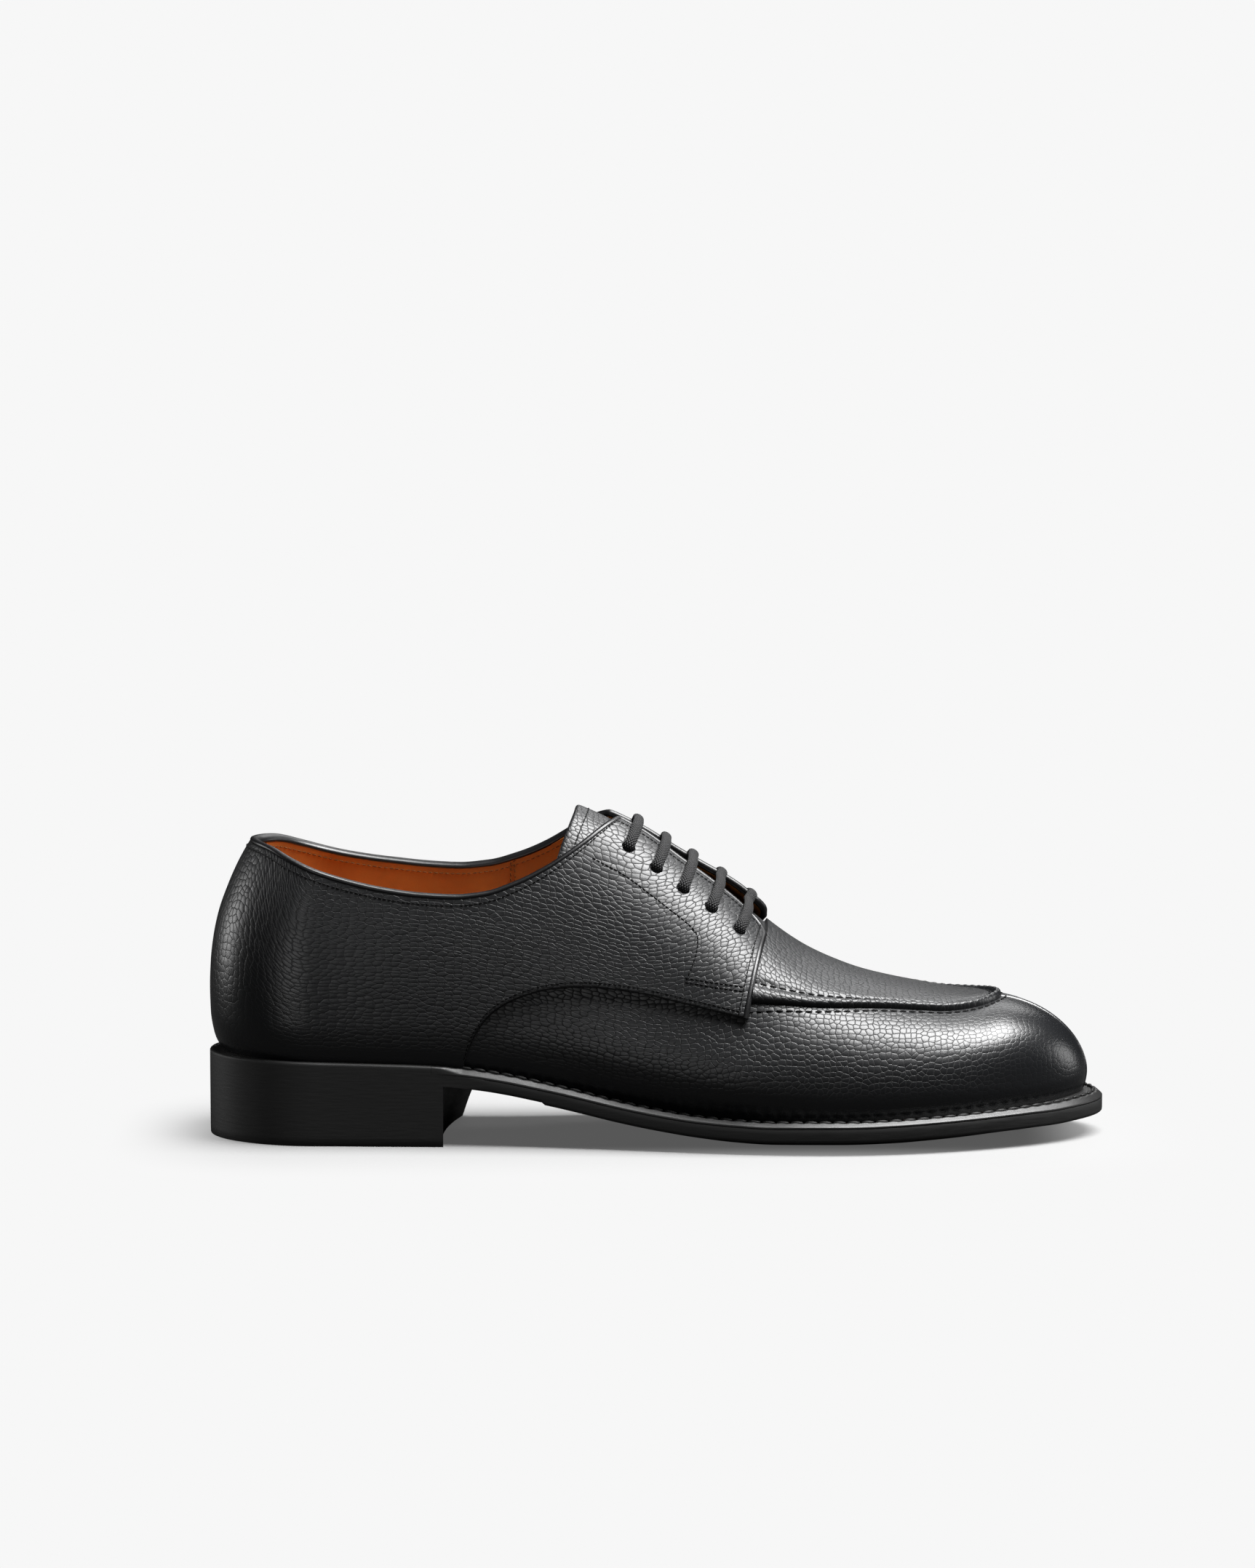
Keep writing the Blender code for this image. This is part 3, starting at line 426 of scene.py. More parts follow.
# Meshes.
class Form:
    """Points, faces and material numbers of one piece, gathered grid by grid."""

    def __init__(self):
        self.points = []
        self.coords = []
        self.faces = []
        self.slots = []
        self.count = 0

    def add_faces(self, faces, slot):
        self.faces.extend(faces)
        self.slots.extend([slot] * len(faces))

    def grid(self, points, slot=0, wrap=False, coords=None):
        """Faces over rows of points, with grain coordinates in millimetres. With wrap, each row closes on
        itself. Returns the points' numbers."""
        rows, columns = points.shape[:2]
        index = self.count + np.arange(rows * columns).reshape(rows, columns)
        self.count += rows * columns
        self.points.append(points.reshape(-1, 3))
        flat = points[..., ::2] if coords is None else np.broadcast_to(coords, (rows, columns, 2))
        self.coords.append(flat.reshape(-1, 2))
        ring = np.concatenate([index, index[:, :1]], 1) if wrap else index
        quads = np.stack([ring[:-1, :-1], ring[:-1, 1:], ring[1:, 1:], ring[1:, :-1]], -1)
        self.add_faces(quads.reshape(-1, 4).tolist(), slot)
        return index

    def strip(self, first, second):
        quads = np.stack([first[:-1], first[1:], second[1:], second[:-1]], -1)
        self.add_faces(quads.tolist(), 0)

    def thick(self, outer, inner, coords):
        """A panel between two grids, with its four edges closed. Its underside takes the second material."""
        top, under = self.grid(outer, coords=coords), self.grid(inner, slot=1, coords=coords)
        for edge in ((0,), (-1,), (slice(None), 0), (slice(None), -1)):
            self.strip(top[edge], under[edge])

    def cap(self, loop):
        self.add_faces([loop.tolist()], 0)


JOIN_DISTANCE = 0.004 * MM


def make_piece(name, form, materials, sharp=40):
    """One piece in the row frame. Points that coincide are joined, and faces turn outwards."""
    mesh = bpy.data.meshes.new(name)
    points = (np.concatenate(form.points) + ROW_SHIFT) * MM
    mesh.from_pydata(points.tolist(), [], form.faces)
    mesh.polygons.foreach_set("material_index", form.slots)
    corners = np.empty(len(mesh.loops), int)
    mesh.loops.foreach_get("vertex_index", corners)
    layer = mesh.uv_layers.new(name=GRAIN_MAP)
    layer.data.foreach_set("uv", np.concatenate(form.coords)[corners].ravel())
    work = bmesh.new()
    work.from_mesh(mesh)
    bmesh.ops.remove_doubles(work, verts=work.verts, dist=JOIN_DISTANCE)
    bmesh.ops.recalc_face_normals(work, faces=work.faces)
    work.to_mesh(mesh)
    work.free()
    mesh.shade_smooth()
    mesh.set_sharp_from_angle(angle=math.radians(sharp))
    for finish in materials:
        mesh.materials.append(finish)
    piece = bpy.data.objects.new(name, mesh)
    bpy.context.collection.objects.link(piece)
    return piece


def settle(piece):
    """Replaces a piece's mesh by its evaluated one, so that no modifier is left."""
    graph = bpy.context.evaluated_depsgraph_get()
    mesh = bpy.data.meshes.new_from_object(piece.evaluated_get(graph))
    piece.modifiers.clear()
    piece.data = mesh


def dress(piece, slot, *nodes):
    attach(piece, "root")
    if nodes:
        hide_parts(*nodes)


def spread(*stops):
    """Values through stops, each written (start, end, count), with the joints between runs counted once."""
    runs = [np.linspace(start, end, count) for start, end, count in stops]
    return np.concatenate([run[:-1] for run in runs[:-1]] + runs[-1:])


def edge_drop(distance, radius=EDGE_ROUND):
    """How far a rounded edge falls below its panel, by distance in from the edge."""
    inside = np.clip(radius - distance, 0, radius)
    return radius - np.sqrt(radius * radius - inside * inside)


def sweep(form, path, across, normal, profile):
    """A closed bar along a path. The profile holds (across, up) points, by path point or one for all."""
    profile = np.broadcast_to(profile, (len(path),) + np.shape(profile)[-2:])
    profile = np.concatenate([profile, profile[:, :1]], 1)
    rows = path[:, None] + profile[..., :1] * across[:, None] + profile[..., 1:] * normal[:, None]
    run, girth = np.meshgrid(path_lengths(path), path_lengths(profile[len(path) // 2]), indexing="ij")
    index = form.grid(rows, coords=np.stack([run, girth], -1))
    form.cap(index[0, :-1])
    form.cap(index[-1, :-1])


def oval(width, height, count):
    turn = np.linspace(0, 2 * math.pi, count, endpoint=False)
    return np.stack([width / 2 * np.cos(turn), height / 2 * np.sin(turn)], -1)


# Materials.
def colour(code):
    """Linear colour of an sRGB hex code."""
    channels = np.array([int(code[i:i + 2], 16) for i in (1, 3, 5)]) / 255
    linear = np.where(channels <= 0.04045, channels / 12.92, ((channels + 0.055) / 1.055) ** 2.4)
    return (*linear.tolist(), 1.0)


def add(tree, kind, inputs=None, **settings):
    """Adds a node with its settings. Inputs are values, or sockets to link."""
    made = tree.nodes.new(kind)
    for name, value in settings.items():
        setattr(made, name, value)
    for name, value in (inputs or {}).items():
        if isinstance(value, bpy.types.NodeSocket):
            tree.links.new(value, made.inputs[name])
        else:
            made.inputs[name].default_value = value
    return made


def new_material(name, **constants):
    made = bpy.data.materials.new(name)
    made.use_nodes = True
    tree = made.node_tree
    shader = tree.nodes["Principled BSDF"]
    for socket, value in constants.items():
        shader.inputs[socket.replace("_", " ")].default_value = value
    return made, tree, shader


def per_metre(size_mm):
    """Texture scale whose cells are so many millimetres across."""
    return 1000 / size_mm


def ramp(tree, factor, low, high):
    """Smooth step of a factor between two limits."""
    inputs = {"Value": factor, "From Min": low, "From Max": high}
    return add(tree, "ShaderNodeMapRange", inputs, interpolation_type="SMOOTHSTEP").outputs["Result"]


def scaled(tree, factor, low, high):
    """A value that goes with a factor, from low at 0 to high at 1."""
    return add(tree, "ShaderNodeMapRange", {"Value": factor, "To Min": low, "To Max": high}).outputs["Result"]


def math_node(tree, operation, *values):
    return add(tree, "ShaderNodeMath", dict(enumerate(values)), operation=operation).outputs[0]


def noise(tree, place, scale, detail):
    return add(tree, "ShaderNodeTexNoise", {"Vector": place, "Scale": scale, "Detail": detail}).outputs["Fac"]


def object_place(tree):
    return add(tree, "ShaderNodeTexCoord").outputs["Object"]


def grain_place(tree):
    return add(tree, "ShaderNodeUVMap", uv_map=GRAIN_MAP).outputs["UV"]


def dye(tree, shader, factor, dark, light):
    """Base colour between two hex codes."""
    inputs = {0: factor, 6: colour(dark), 7: colour(light)}
    tone = add(tree, "ShaderNodeMix", inputs, data_type="RGBA")
    tree.links.new(tone.outputs[2], shader.inputs["Base Color"])


def rub(tree, shader, factor, low, high):
    """Roughness between two values."""
    tree.links.new(scaled(tree, factor, low, high), shader.inputs["Roughness"])


def relief(tree, height, strength, depth_mm, **under):
    """Normals of a relief so many millimetres deep, over those of a relief under it."""
    inputs = {"Height": height, "Strength": strength, "Distance": depth_mm * MM, **under}
    return add(tree, "ShaderNodeBump", inputs).outputs["Normal"]


def emboss(tree, shader, *form):
    tree.links.new(relief(tree, *form), shader.inputs["Normal"])


# The grain: size, stretch along the foot, wander and evenness of its cells, width and fall of its creases.
GRAIN_CELL = 1.75
GRAIN_LONG = 1.2
GRAIN_DRIFT = 2.0
GRAIN_DRIFT_SIZE = 9
GRAIN_RANDOM = 0.7
CREASE_WIDTH = 0.11
DOME_FALL = -3.0
GRAIN_DEPTH = 0.1
LEATHER_PORE = 0.7
PORE_STRENGTH = 0.4
# From grained to boned leather: strength of the relief. From crease to pebble: roughness. Boning's own gloss.
PEBBLE_STRENGTH = (0.6, 0.14)
PEBBLE_ROUGH = (0.75, 0.43)
BONED_GLOSS = -0.15
# Where the leather is boned smooth: along the foot and up from the floor in metres, up from the welt in mm.
BONED_TOE = (0.07, 0.135)
BONED_HEEL = (-0.06, -0.14)
BONED_BACK = (0.11, 0.035)
BONED_FOOT = (15.0, 5.0)


def make_grain_leather():
    """Pebbled calf, dyed black and polished: raised cells about 2 mm across, with painted shade darkening the
    creases between them. It is boned smooth and bright at the toe, the low heel and along the welt."""
    made, tree, shader = new_material("black_grain_leather", IOR=1.5, Coat_Weight=0.12, Coat_Roughness=0.35)
    place = add(tree, "ShaderNodeSeparateXYZ", {"Vector": object_place(tree)}).outputs
    skin = grain_place(tree)
    drift = add(tree, "ShaderNodeTexNoise", {"Vector": skin, "Scale": 1 / GRAIN_DRIFT_SIZE, "Detail": 1})
    moved = add(tree, "ShaderNodeVectorMath", {0: drift.outputs["Color"], 1: (GRAIN_DRIFT, GRAIN_DRIFT, 0.0),
                                               2: skin}, operation="MULTIPLY_ADD")
    long = add(tree, "ShaderNodeMapping", {"Vector": moved.outputs["Vector"],
                                           "Scale": (1 / GRAIN_LONG, 1.0, 1.0)})
    grain = {"Vector": long.outputs["Vector"], "Scale": 1 / GRAIN_CELL, "Randomness": GRAIN_RANDOM}
    edges, middles = (add(tree, "ShaderNodeTexVoronoi", grain, feature=feature,
                          voronoi_dimensions="2D").outputs["Distance"]
                      for feature in ("DISTANCE_TO_EDGE", "F1"))
    cells = ramp(tree, edges, 0.0, CREASE_WIDTH)
    fall = math_node(tree, "MULTIPLY", middles, middles)
    dome = math_node(tree, "MULTIPLY_ADD", fall, DOME_FALL, cells)
    pores = noise(tree, skin, 1 / LEATHER_PORE, 3)
    heel, low = ramp(tree, place["X"], *BONED_HEEL), ramp(tree, place["Z"], *BONED_BACK)
    low_back = math_node(tree, "MULTIPLY", heel, low)
    boned = math_node(tree, "MAXIMUM", ramp(tree, place["X"], *BONED_TOE), low_back)
    up = add(tree, "ShaderNodeSeparateXYZ", {"Vector": skin}).outputs["Y"]
    rise = math_node(tree, "FLOORED_MODULO", up, MEDIAL_GRAIN)
    polish = math_node(tree, "MAXIMUM", boned, ramp(tree, rise, *BONED_FOOT))
    pebbles = relief(tree, dome, scaled(tree, polish, *PEBBLE_STRENGTH), GRAIN_DEPTH)
    surface = relief(tree, pores, PORE_STRENGTH, GRAIN_DEPTH, Normal=pebbles)
    for socket in ("Normal", "Coat Normal"):
        tree.links.new(surface, shader.inputs[socket])
    groove = math_node(tree, "MAXIMUM", cells, polish)
    # Painted shade: the creases are dyed darker than the pebble tops for the shade that falls in them. Boned
    # leather takes the pebble colour all over.
    dye(tree, shader, groove, "#050506", "#101113")
    creases = scaled(tree, groove, *PEBBLE_ROUGH)
    gloss = math_node(tree, "ADD", creases, scaled(tree, polish, 0.0, BONED_GLOSS))
    tree.links.new(gloss, shader.inputs["Roughness"])
    return made


def make_plain_leather(name, dark, light, rough, pore_mm, depth):
    """Smooth leather: even dye that mottles softly, with fine pores."""
    made, tree, shader = new_material(name, IOR=1.48)
    place = object_place(tree)
    mottle = noise(tree, place, per_metre(14), 4)
    pores = noise(tree, place, per_metre(pore_mm), 3)
    dye(tree, shader, ramp(tree, mottle, 0.3, 0.7), dark, light)
    rub(tree, shader, pores, rough - 0.08, rough + 0.08)
    emboss(tree, shader, pores, 0.5, depth)
    return made


def make_edge_leather():
    """Sole-edge leather, inked and burnished with wax: dark with fine strokes along the edge."""
    made, tree, shader = new_material("black_edge_leather", IOR=1.5)
    flat = add(tree, "ShaderNodeMapping", {"Vector": object_place(tree), "Scale": (0.12, 0.12, 1.0)})
    strokes = noise(tree, flat.outputs["Vector"], per_metre(0.8), 4)
    dye(tree, shader, ramp(tree, strokes, 0.3, 0.7), "#0b0b0b", "#131313")
    rub(tree, shader, strokes, 0.5, 0.68)
    emboss(tree, shader, strokes, 0.4, 0.12)
    return made


def make_rubber():
    """Moulded sole rubber: dull black with a pebble of fine crumbs."""
    made, tree, shader = new_material("black_rubber", IOR=1.5)
    place = object_place(tree)
    crumbs = add(tree, "ShaderNodeTexVoronoi", {"Vector": place, "Scale": per_metre(0.8)})
    dust = noise(tree, place, per_metre(0.9), 4)
    dye(tree, shader, ramp(tree, dust, 0.35, 0.75), "#0b0b0b", "#161615")
    rub(tree, shader, dust, 0.5, 0.72)
    emboss(tree, shader, crumbs.outputs["Distance"], 0.4, 0.1)
    return made


def make_thread(name, dark, light, rough):
    """Twisted thread: small slanting strands, sunk in the leather and dull."""
    made, tree, shader = new_material(name, IOR=1.45, Specular_IOR_Level=0.2)
    strands = noise(tree, object_place(tree), per_metre(0.35), 2)
    dye(tree, shader, ramp(tree, strands, 0.35, 0.65), dark, light)
    rub(tree, shader, strands, rough - 0.1, rough + 0.1)
    emboss(tree, shader, strands, 0.5, 0.08)
    return made


BRAID_STRAND = 1.0
WAVE_PERIOD = 2 * math.pi / 10


def make_braid():
    """Waxed flat braid: dark strands that cross on the slant, each crown a little glossier and painted
    lighter as a small dull gleam.
    """
    made, tree, shader = new_material("waxed_black_cotton", IOR=1.48)
    skin = grain_place(tree)
    crossed = add(tree, "ShaderNodeMapping", {"Vector": skin, "Scale": (1.0, -1.0, 1.0)}).outputs["Vector"]
    strands = [add(tree, "ShaderNodeTexWave", {"Vector": way, "Scale": WAVE_PERIOD / BRAID_STRAND},
                   bands_direction="DIAGONAL").outputs["Fac"] for way in (skin, crossed)]
    crowns_and_painted_gleam = math_node(tree, "MULTIPLY", *strands)
    # Painted highlight: the crowns of the crossing strands are dyed lighter than the rest of the braid.
    dye(tree, shader, crowns_and_painted_gleam, "#030304", "#2c2c2e")
    rub(tree, shader, crowns_and_painted_gleam, 0.8, 0.38)
    emboss(tree, shader, crowns_and_painted_gleam, 1.0, 0.4)
    return made


grain_leather = make_grain_leather()
bead_leather = make_plain_leather("black_bead_leather", "#0a0a0b", "#121214", 0.36, 0.6, 0.05)
lining_leather = make_plain_leather("tan_lining_leather", "#b36d2f", "#be7835", 0.6, 0.7, 0.06)
edge_leather = make_edge_leather()
welt_leather = make_plain_leather("black_welt_leather", "#121212", "#1c1c1c", 0.42, 0.5, 0.08)
sole_rubber = make_rubber()
upper_thread = make_thread("black_polyester_thread", "#040405", "#0b0b0c", 0.75)
welt_thread = make_thread("waxed_black_linen", "#0a0a0a", "#1c1c1c", 0.5)
lining_thread = make_thread("brown_polyester_thread", "#5c3517", "#86562a", 0.6)
lace_cotton = make_braid()


# Stitches: one tree sets rounded threads end to end along each path.
STITCH_SIZES = ("Pitch", "Length", "Thickness")


def make_stitch_tree():
    tree = bpy.data.node_groups.new("stitch_rows", "GeometryNodeTree")
    tree.is_modifier = True
    face = tree.interface
    face.new_socket("Geometry", in_out="INPUT", socket_type="NodeSocketGeometry")
    for name in STITCH_SIZES:
        face.new_socket(name, in_out="INPUT", socket_type="NodeSocketFloat")
    face.new_socket("Thread", in_out="INPUT", socket_type="NodeSocketMaterial")
    face.new_socket("Geometry", in_out="OUTPUT", socket_type="NodeSocketGeometry")
    given = add(tree, "NodeGroupInput").outputs
    line = add(tree, "GeometryNodeMeshToCurve", {"Mesh": given["Geometry"]})
    places = add(tree, "GeometryNodeCurveToPoints", {"Curve": line.outputs["Curve"],
                                                     "Length": given["Pitch"]}, mode="LENGTH")
    bead = add(tree, "GeometryNodeMeshUVSphere", {"Segments": 6, "Rings": 5, "Radius": 0.5})
    size = add(tree, "ShaderNodeCombineXYZ", {"X": given["Thickness"], "Y": given["Thickness"],
                                              "Z": given["Length"]})
    shaped = add(tree, "GeometryNodeTransform", {"Geometry": bead.outputs["Mesh"], "Scale": size.outputs[0]})
    smooth = add(tree, "GeometryNodeSetShadeSmooth", {"Geometry": shaped.outputs["Geometry"]})
    rows = add(tree, "GeometryNodeInstanceOnPoints", {"Points": places.outputs["Points"],
                                                      "Instance": smooth.outputs["Geometry"],
                                                      "Rotation": places.outputs["Rotation"]})
    real = add(tree, "GeometryNodeRealizeInstances", {"Geometry": rows.outputs["Instances"]})
    coloured = add(tree, "GeometryNodeSetMaterial", {"Geometry": real.outputs["Geometry"],
                                                     "Material": given["Thread"]})
    add(tree, "NodeGroupOutput", {"Geometry": coloured.outputs["Geometry"]})
    return tree


stitch_tree = make_stitch_tree()


def make_stitches(name, paths, sizes, thread, slot):
    """Rows of stitches along paths in millimetres. Sizes are the stitch's pitch, length and thickness."""
    mesh = bpy.data.meshes.new(name)
    points, edges = [], []
    for path in paths:
        first = len(points)
        points.extend(((path + ROW_SHIFT) * MM).tolist())
        edges.extend((i, i + 1) for i in range(first, len(points) - 1))
    mesh.from_pydata(points, edges, [])
    piece = bpy.data.objects.new(name, mesh)
    rows = piece.modifiers.new("rows", "NODES")
    rows.node_group = stitch_tree
    values = {key: size * MM for key, size in zip(STITCH_SIZES, sizes)}
    values["Thread"] = thread
    for item in stitch_tree.interface.items_tree:
        if item.in_out == "INPUT" and item.name in values:
            rows[item.identifier] = values[item.name]
    bpy.context.collection.objects.link(piece)
    settle(piece)
    dress(piece, slot)


# Upper. The medial facing springs clear of the tongue towards its front end.
SPRING = [(130, 0.0), (150, 0.5), (165, 1.3), (176, 2.4), (185, 3.4)]
SPRING_ROOT = (7.0, 19.0)
spring = Curve(SPRING)


def facing_spring(x, y):
    """How far the medial facing stands off the last, by place along the foot and distance from the ridge."""
    return spring(x) * fade(y, SPRING_ROOT)


def quarter_point(t, angle, side, offset):
    if side == MEDIAL:
        base = bare_point(t, angle, side)
        offset = offset + facing_spring(base[..., 0], base[..., 1])
    return last_point(t, angle, side, offset)


def soft_min(a, b, blend):
    h = np.maximum(blend - np.abs(a - b), 0) / blend
    return np.minimum(a, b) - h * h * blend / 4


def top_theta(x, side, gap, blend):
    """Upper edge of the wall: the collar, turning into the edge of the facing at a rounded corner."""
    t = station_t(x)
    by_height = theta_at_height(t, side, collar(x) + (medial_lift(x) if side == MEDIAL else 0))
    return np.where(x < FACING_START, by_height, soft_min(by_height, theta_at_width(t, side, gap), blend))


def wall_top(t, side):
    x = station_x(t)
    s = np.clip((x - THROAT_END + THROAT_ROUND) / THROAT_ROUND, 0, 1)
    whole = facing_gap[side](np.minimum(x, THROAT_END - THROAT_ROUND)) + THROAT_SETBACK
    gap = whole * np.sqrt(1 - s * s)
    return np.where(x >= THROAT_END - 1e-6, RIGHT_ANGLE, top_theta(x, side, gap, WALL_CORNER_BLEND))


THROAT_T = float(station_t(THROAT_END))
WAIST_T = float(station_t(84))
WALL_STATIONS = spread((0, 1, 19), (1, WAIST_T, 13), (WAIST_T, THROAT_T, 71), (THROAT_T, 2, 35), (2, 3, 61))
WALL_SHARES = spread((-1, 0, 13), (0, 1, 35))
FEATHER_SINK = 0.15
FEATHER_FROM = 0.7


def set_feather(points, share):
    """Sets a wall's lowest rows down onto the welt, whichever side of the foot they stand on."""
    made = points.copy()
    foot = points[:, :1]
    seat = seat_height(foot[..., 0], foot[..., 1] - last["swing"](foot[..., 0]))
    fall = foot[..., 2] - seat + FEATHER_SINK
    made[..., 2] -= fall * np.clip((-share - FEATHER_FROM) / (1 - FEATHER_FROM), 0, 1)
    return made


# How far the vamp swells out between the welt and the quarter, by place along the foot.
FULLNESS = Curve([(94, 0.0), (118, 1.0), (146, 2.6), (176, 2.8), (192, 1.4), (208, 0.0)])
FULL_LOW = 0.75


def vamp_fullness(t, angle, side):
    """The swell of the vamp: fullest low on the flank, and none at the feather line and the lap."""
    place = bare_point(t, angle, side)
    x, foot = place[..., 0], place[:, :1, 2]
    share = np.clip((place[..., 2] - foot) / (vamp_line(x) - foot), 0, 1)
    return FULLNESS(x) * np.sin(math.pi * share ** FULL_LOW) ** 2


def make_wall(name, low_offset, high_offset, finish, full=0.0):
    """One layer of the upper, from the feather line to the collar and throat."""
    form = Form()
    open_count = int((WALL_STATIONS <= THROAT_T + 1e-9).sum())
    share = WALL_SHARES
    t = WALL_STATIONS[:, None]
    for side in (LATERAL, MEDIAL):
        angle = np.where(share < 0, share * RIGHT_ANGLE, share * wall_top(t, side))
        coords = grain_coords(t, angle, side)
        outer = last_point(t, angle, side, high_offset + full * vamp_fullness(t, angle, side))
        skin = form.grid(set_feather(outer, share), coords=coords)
        under = form.grid(set_feather(last_point(t, angle, side, low_offset), share), coords=coords)
        form.strip(skin[:, 0], under[:, 0])
        form.strip(skin[:open_count, -1], under[:open_count, -1])
    return make_piece(name, form, [finish])


def quarter_place(x_low, share, side):
    """Station and angle on the quarter, by the upright line's lower end and the share of the way up it."""
    x_high = quarter_lean(x_low)
    t_low, t_high = station_t(x_low), station_t(x_high)
    low = np.where(x_low > VAMP_LINE[0][0], theta_at_height(t_low, side, vamp_line(x_low)), -RIGHT_ANGLE)
    high = top_theta(x_high, side, facing_gap[side](x_high), CORNER_BLEND)
    return t_low + (t_high - t_low) * share, low + (high - low) * share


EVEN_SHARES = np.linspace(0, 1, 81)


def quarter_runs(x_low, side):
    """Lengths up each upright line to even shares of it."""
    return path_lengths(last_point(*quarter_place(x_low[:, None], EVEN_SHARES, side), side, QUARTER_TOP))


def quarter_share(x_low, distance, side, from_top=False):
    """Share of the way up an upright line, by millimetres from its lower or upper end."""
    lengths = quarter_runs(x_low, side)
    wanted = np.clip(lengths[:, -1:] - distance if from_top else distance, 0, lengths[:, -1:])
    wanted = np.broadcast_to(wanted, (len(x_low), np.shape(distance)[-1]))
    return np.stack([np.interp(row, run, EVEN_SHARES) for row, run in zip(wanted, lengths)])


EDGE_ROWS = np.array([0, 0.06, 0.2, 0.45, 0.8, 1.3])
BACK_SEAM_T = 0.004
HEEL_LOWS = station_x(spread((BACK_SEAM_T, 1, 25), (1, WAIST_T, 15)))
FACING_LOWS = spread((84.6, 90, 16), (90, 102, 16), (102, 130, 44), (130, 177.4, 62))
FRONT_LOWS = QUARTER_FRONT - np.array([2.4, 1.7, 1.15, 0.8, 0.5, 0.25, 0.08, 0])
QUARTER_LOWS = np.concatenate([HEEL_LOWS, FACING_LOWS, FRONT_LOWS])


def make_quarter(name, side, finish, under_finish):
    """The outer panel from the back seam to the facing, lapped over the vamp, with rounded edges."""
    lows = QUARTER_LOWS
    runs = quarter_runs(lows, side)[:, -1]
    middle = np.linspace(0, 1, 47)[1:-1]
    inner_rows = EDGE_ROWS[-1] + middle * (runs[:, None] - 2 * EDGE_ROWS[-1])
    rows = np.concatenate([np.broadcast_to(EDGE_ROWS, (len(lows), len(EDGE_ROWS))), inner_rows,
                           runs[:, None] - EDGE_ROWS[::-1]], 1)
    share = quarter_share(lows, rows, side)
    t, angle = quarter_place(lows[:, None], share, side)
    flat = quarter_point(t, angle, side, QUARTER_TOP)
    to_front = np.linalg.norm(flat - flat[-1:], axis=-1)
    lapped = np.where(lows > VAMP_LINE[0][0], 1, 0)[:, None]
    drop = edge_drop(rows) * lapped + edge_drop(runs[:, None] - rows)
    drop = np.minimum(np.maximum(drop, edge_drop(to_front)), EDGE_ROUND)
    form = Form()
    outer = quarter_point(t, angle, side, QUARTER_TOP - drop)
    inner = quarter_point(t, angle, side, QUARTER_UNDER)
    at_foot = np.where(lapped == 1, 0.0, -1.0 + share * 3)
    outer, inner = set_feather(outer, at_foot), set_feather(inner, at_foot)
    form.thick(outer, inner, grain_coords(t, angle, side))
    return make_piece(name, form, [finish, under_finish], sharp=60)


def quarter_path(side, lows, distance, from_top, offset):
    """A path along the quarter, so far from its lower or upper edge."""
    share = quarter_share(lows, np.array([distance]), side, from_top)
    t, angle = quarter_place(lows[:, None], share, side)
    return quarter_point(t, angle, side, offset)[:, 0]


def front_path(side, inset, shares, offset):
    """A path down the quarter's front edge, so far inside it."""
    t, angle = quarter_place(np.full(len(shares), QUARTER_FRONT - inset), shares, side)
    return quarter_point(t, angle, side, offset)


# The bead is full round the collar and slim on the facing. Its sections are wide, high and set off the edge.
BEAD_SIZE = Curve([(8, 1.0), (112, 1.0), (134, 0.0), (200, 0.0)])
FULL_BEAD = oval(2.5, 4.1, 14) + (-0.15, 1.9)
SLIM_BEAD = oval(2.3, 2.5, 14) + (-0.2, 2.75)
BEAD_STEP = 0.05


def make_bead(name, side, finish):
    """The rolled binding round the collar, up the facing and down the front edge of the quarter."""
    lows = np.concatenate([[HEEL_X], QUARTER_LOWS[1:-1]])
    shares = np.linspace(1, 0, 40)
    t, angle = quarter_place(np.concatenate([lows, np.full(len(shares), QUARTER_FRONT)]),
                             np.concatenate([np.ones(len(lows)), shares]), side)
    base = quarter_point(t, angle, side, np.zeros_like(t))
    normal = last_normal(t, angle, side)
    keep = np.concatenate([[True], np.linalg.norm(np.diff(base, axis=0), axis=-1) > BEAD_STEP])
    base, normal = base[keep], normal[keep]
    collar_share = BEAD_SIZE(station_x(t[keep]))[:, None, None]
    along = unit(np.gradient(base, axis=0))
    along[0] = (0, side, 0)
    across = unit(np.cross(along, normal)) * -side
    form = Form()
    sweep(form, base, across, normal, FULL_BEAD * collar_share + SLIM_BEAD * (1 - collar_share))
    return make_piece(name, form, [finish], sharp=80)


# Apron.
def apron_half(x, side):
    s = np.clip((x - APRON_FRONT + APRON_ROUND) / APRON_ROUND, 0, 1)
    narrow = last["medial"](x) / last["lateral"](x) if side == MEDIAL else 1.0
    return side * narrow * apron_width(x) * np.sqrt(np.maximum(1 - s ** APRON_POWER, 0))


def apron_sweep(x, y):
    out = np.maximum(np.abs(y) - APRON_SWEEP_FROM, 0) / (APRON_WIDTH[0][1] - APRON_SWEEP_FROM)
    return APRON_SWEEP * out * fade(x, (APRON_BACK, APRON_BACK + 6 * APRON_SWEEP))


APRON_FORWARD = np.concatenate([np.linspace(APRON_BACK, APRON_FRONT - APRON_ROUND, 70)[:-1],
                                APRON_FRONT - APRON_ROUND * (1 - np.sin(np.linspace(0, RIGHT_ANGLE, 60)))])


def apron_border(inset):
    """Plan points so far inside the apron's edge, from the lateral back corner round to the medial one."""
    xs = np.concatenate([APRON_FORWARD, APRON_FORWARD[-2::-1]])
    turn = len(APRON_FORWARD)
    ys = np.concatenate([apron_half(APRON_FORWARD, LATERAL), apron_half(APRON_FORWARD[-2::-1], MEDIAL)])
    ys[turn - 1] = 0
    spine = np.minimum(xs, APRON_SPINE_END)
    reach = np.hypot(xs - spine, ys)
    share = np.minimum(inset / reach[:, None], 1)
    px = xs[:, None] + (spine - xs)[:, None] * share
    py = ys[:, None] * (1 - share)
    return px - apron_sweep(px, py), py, reach


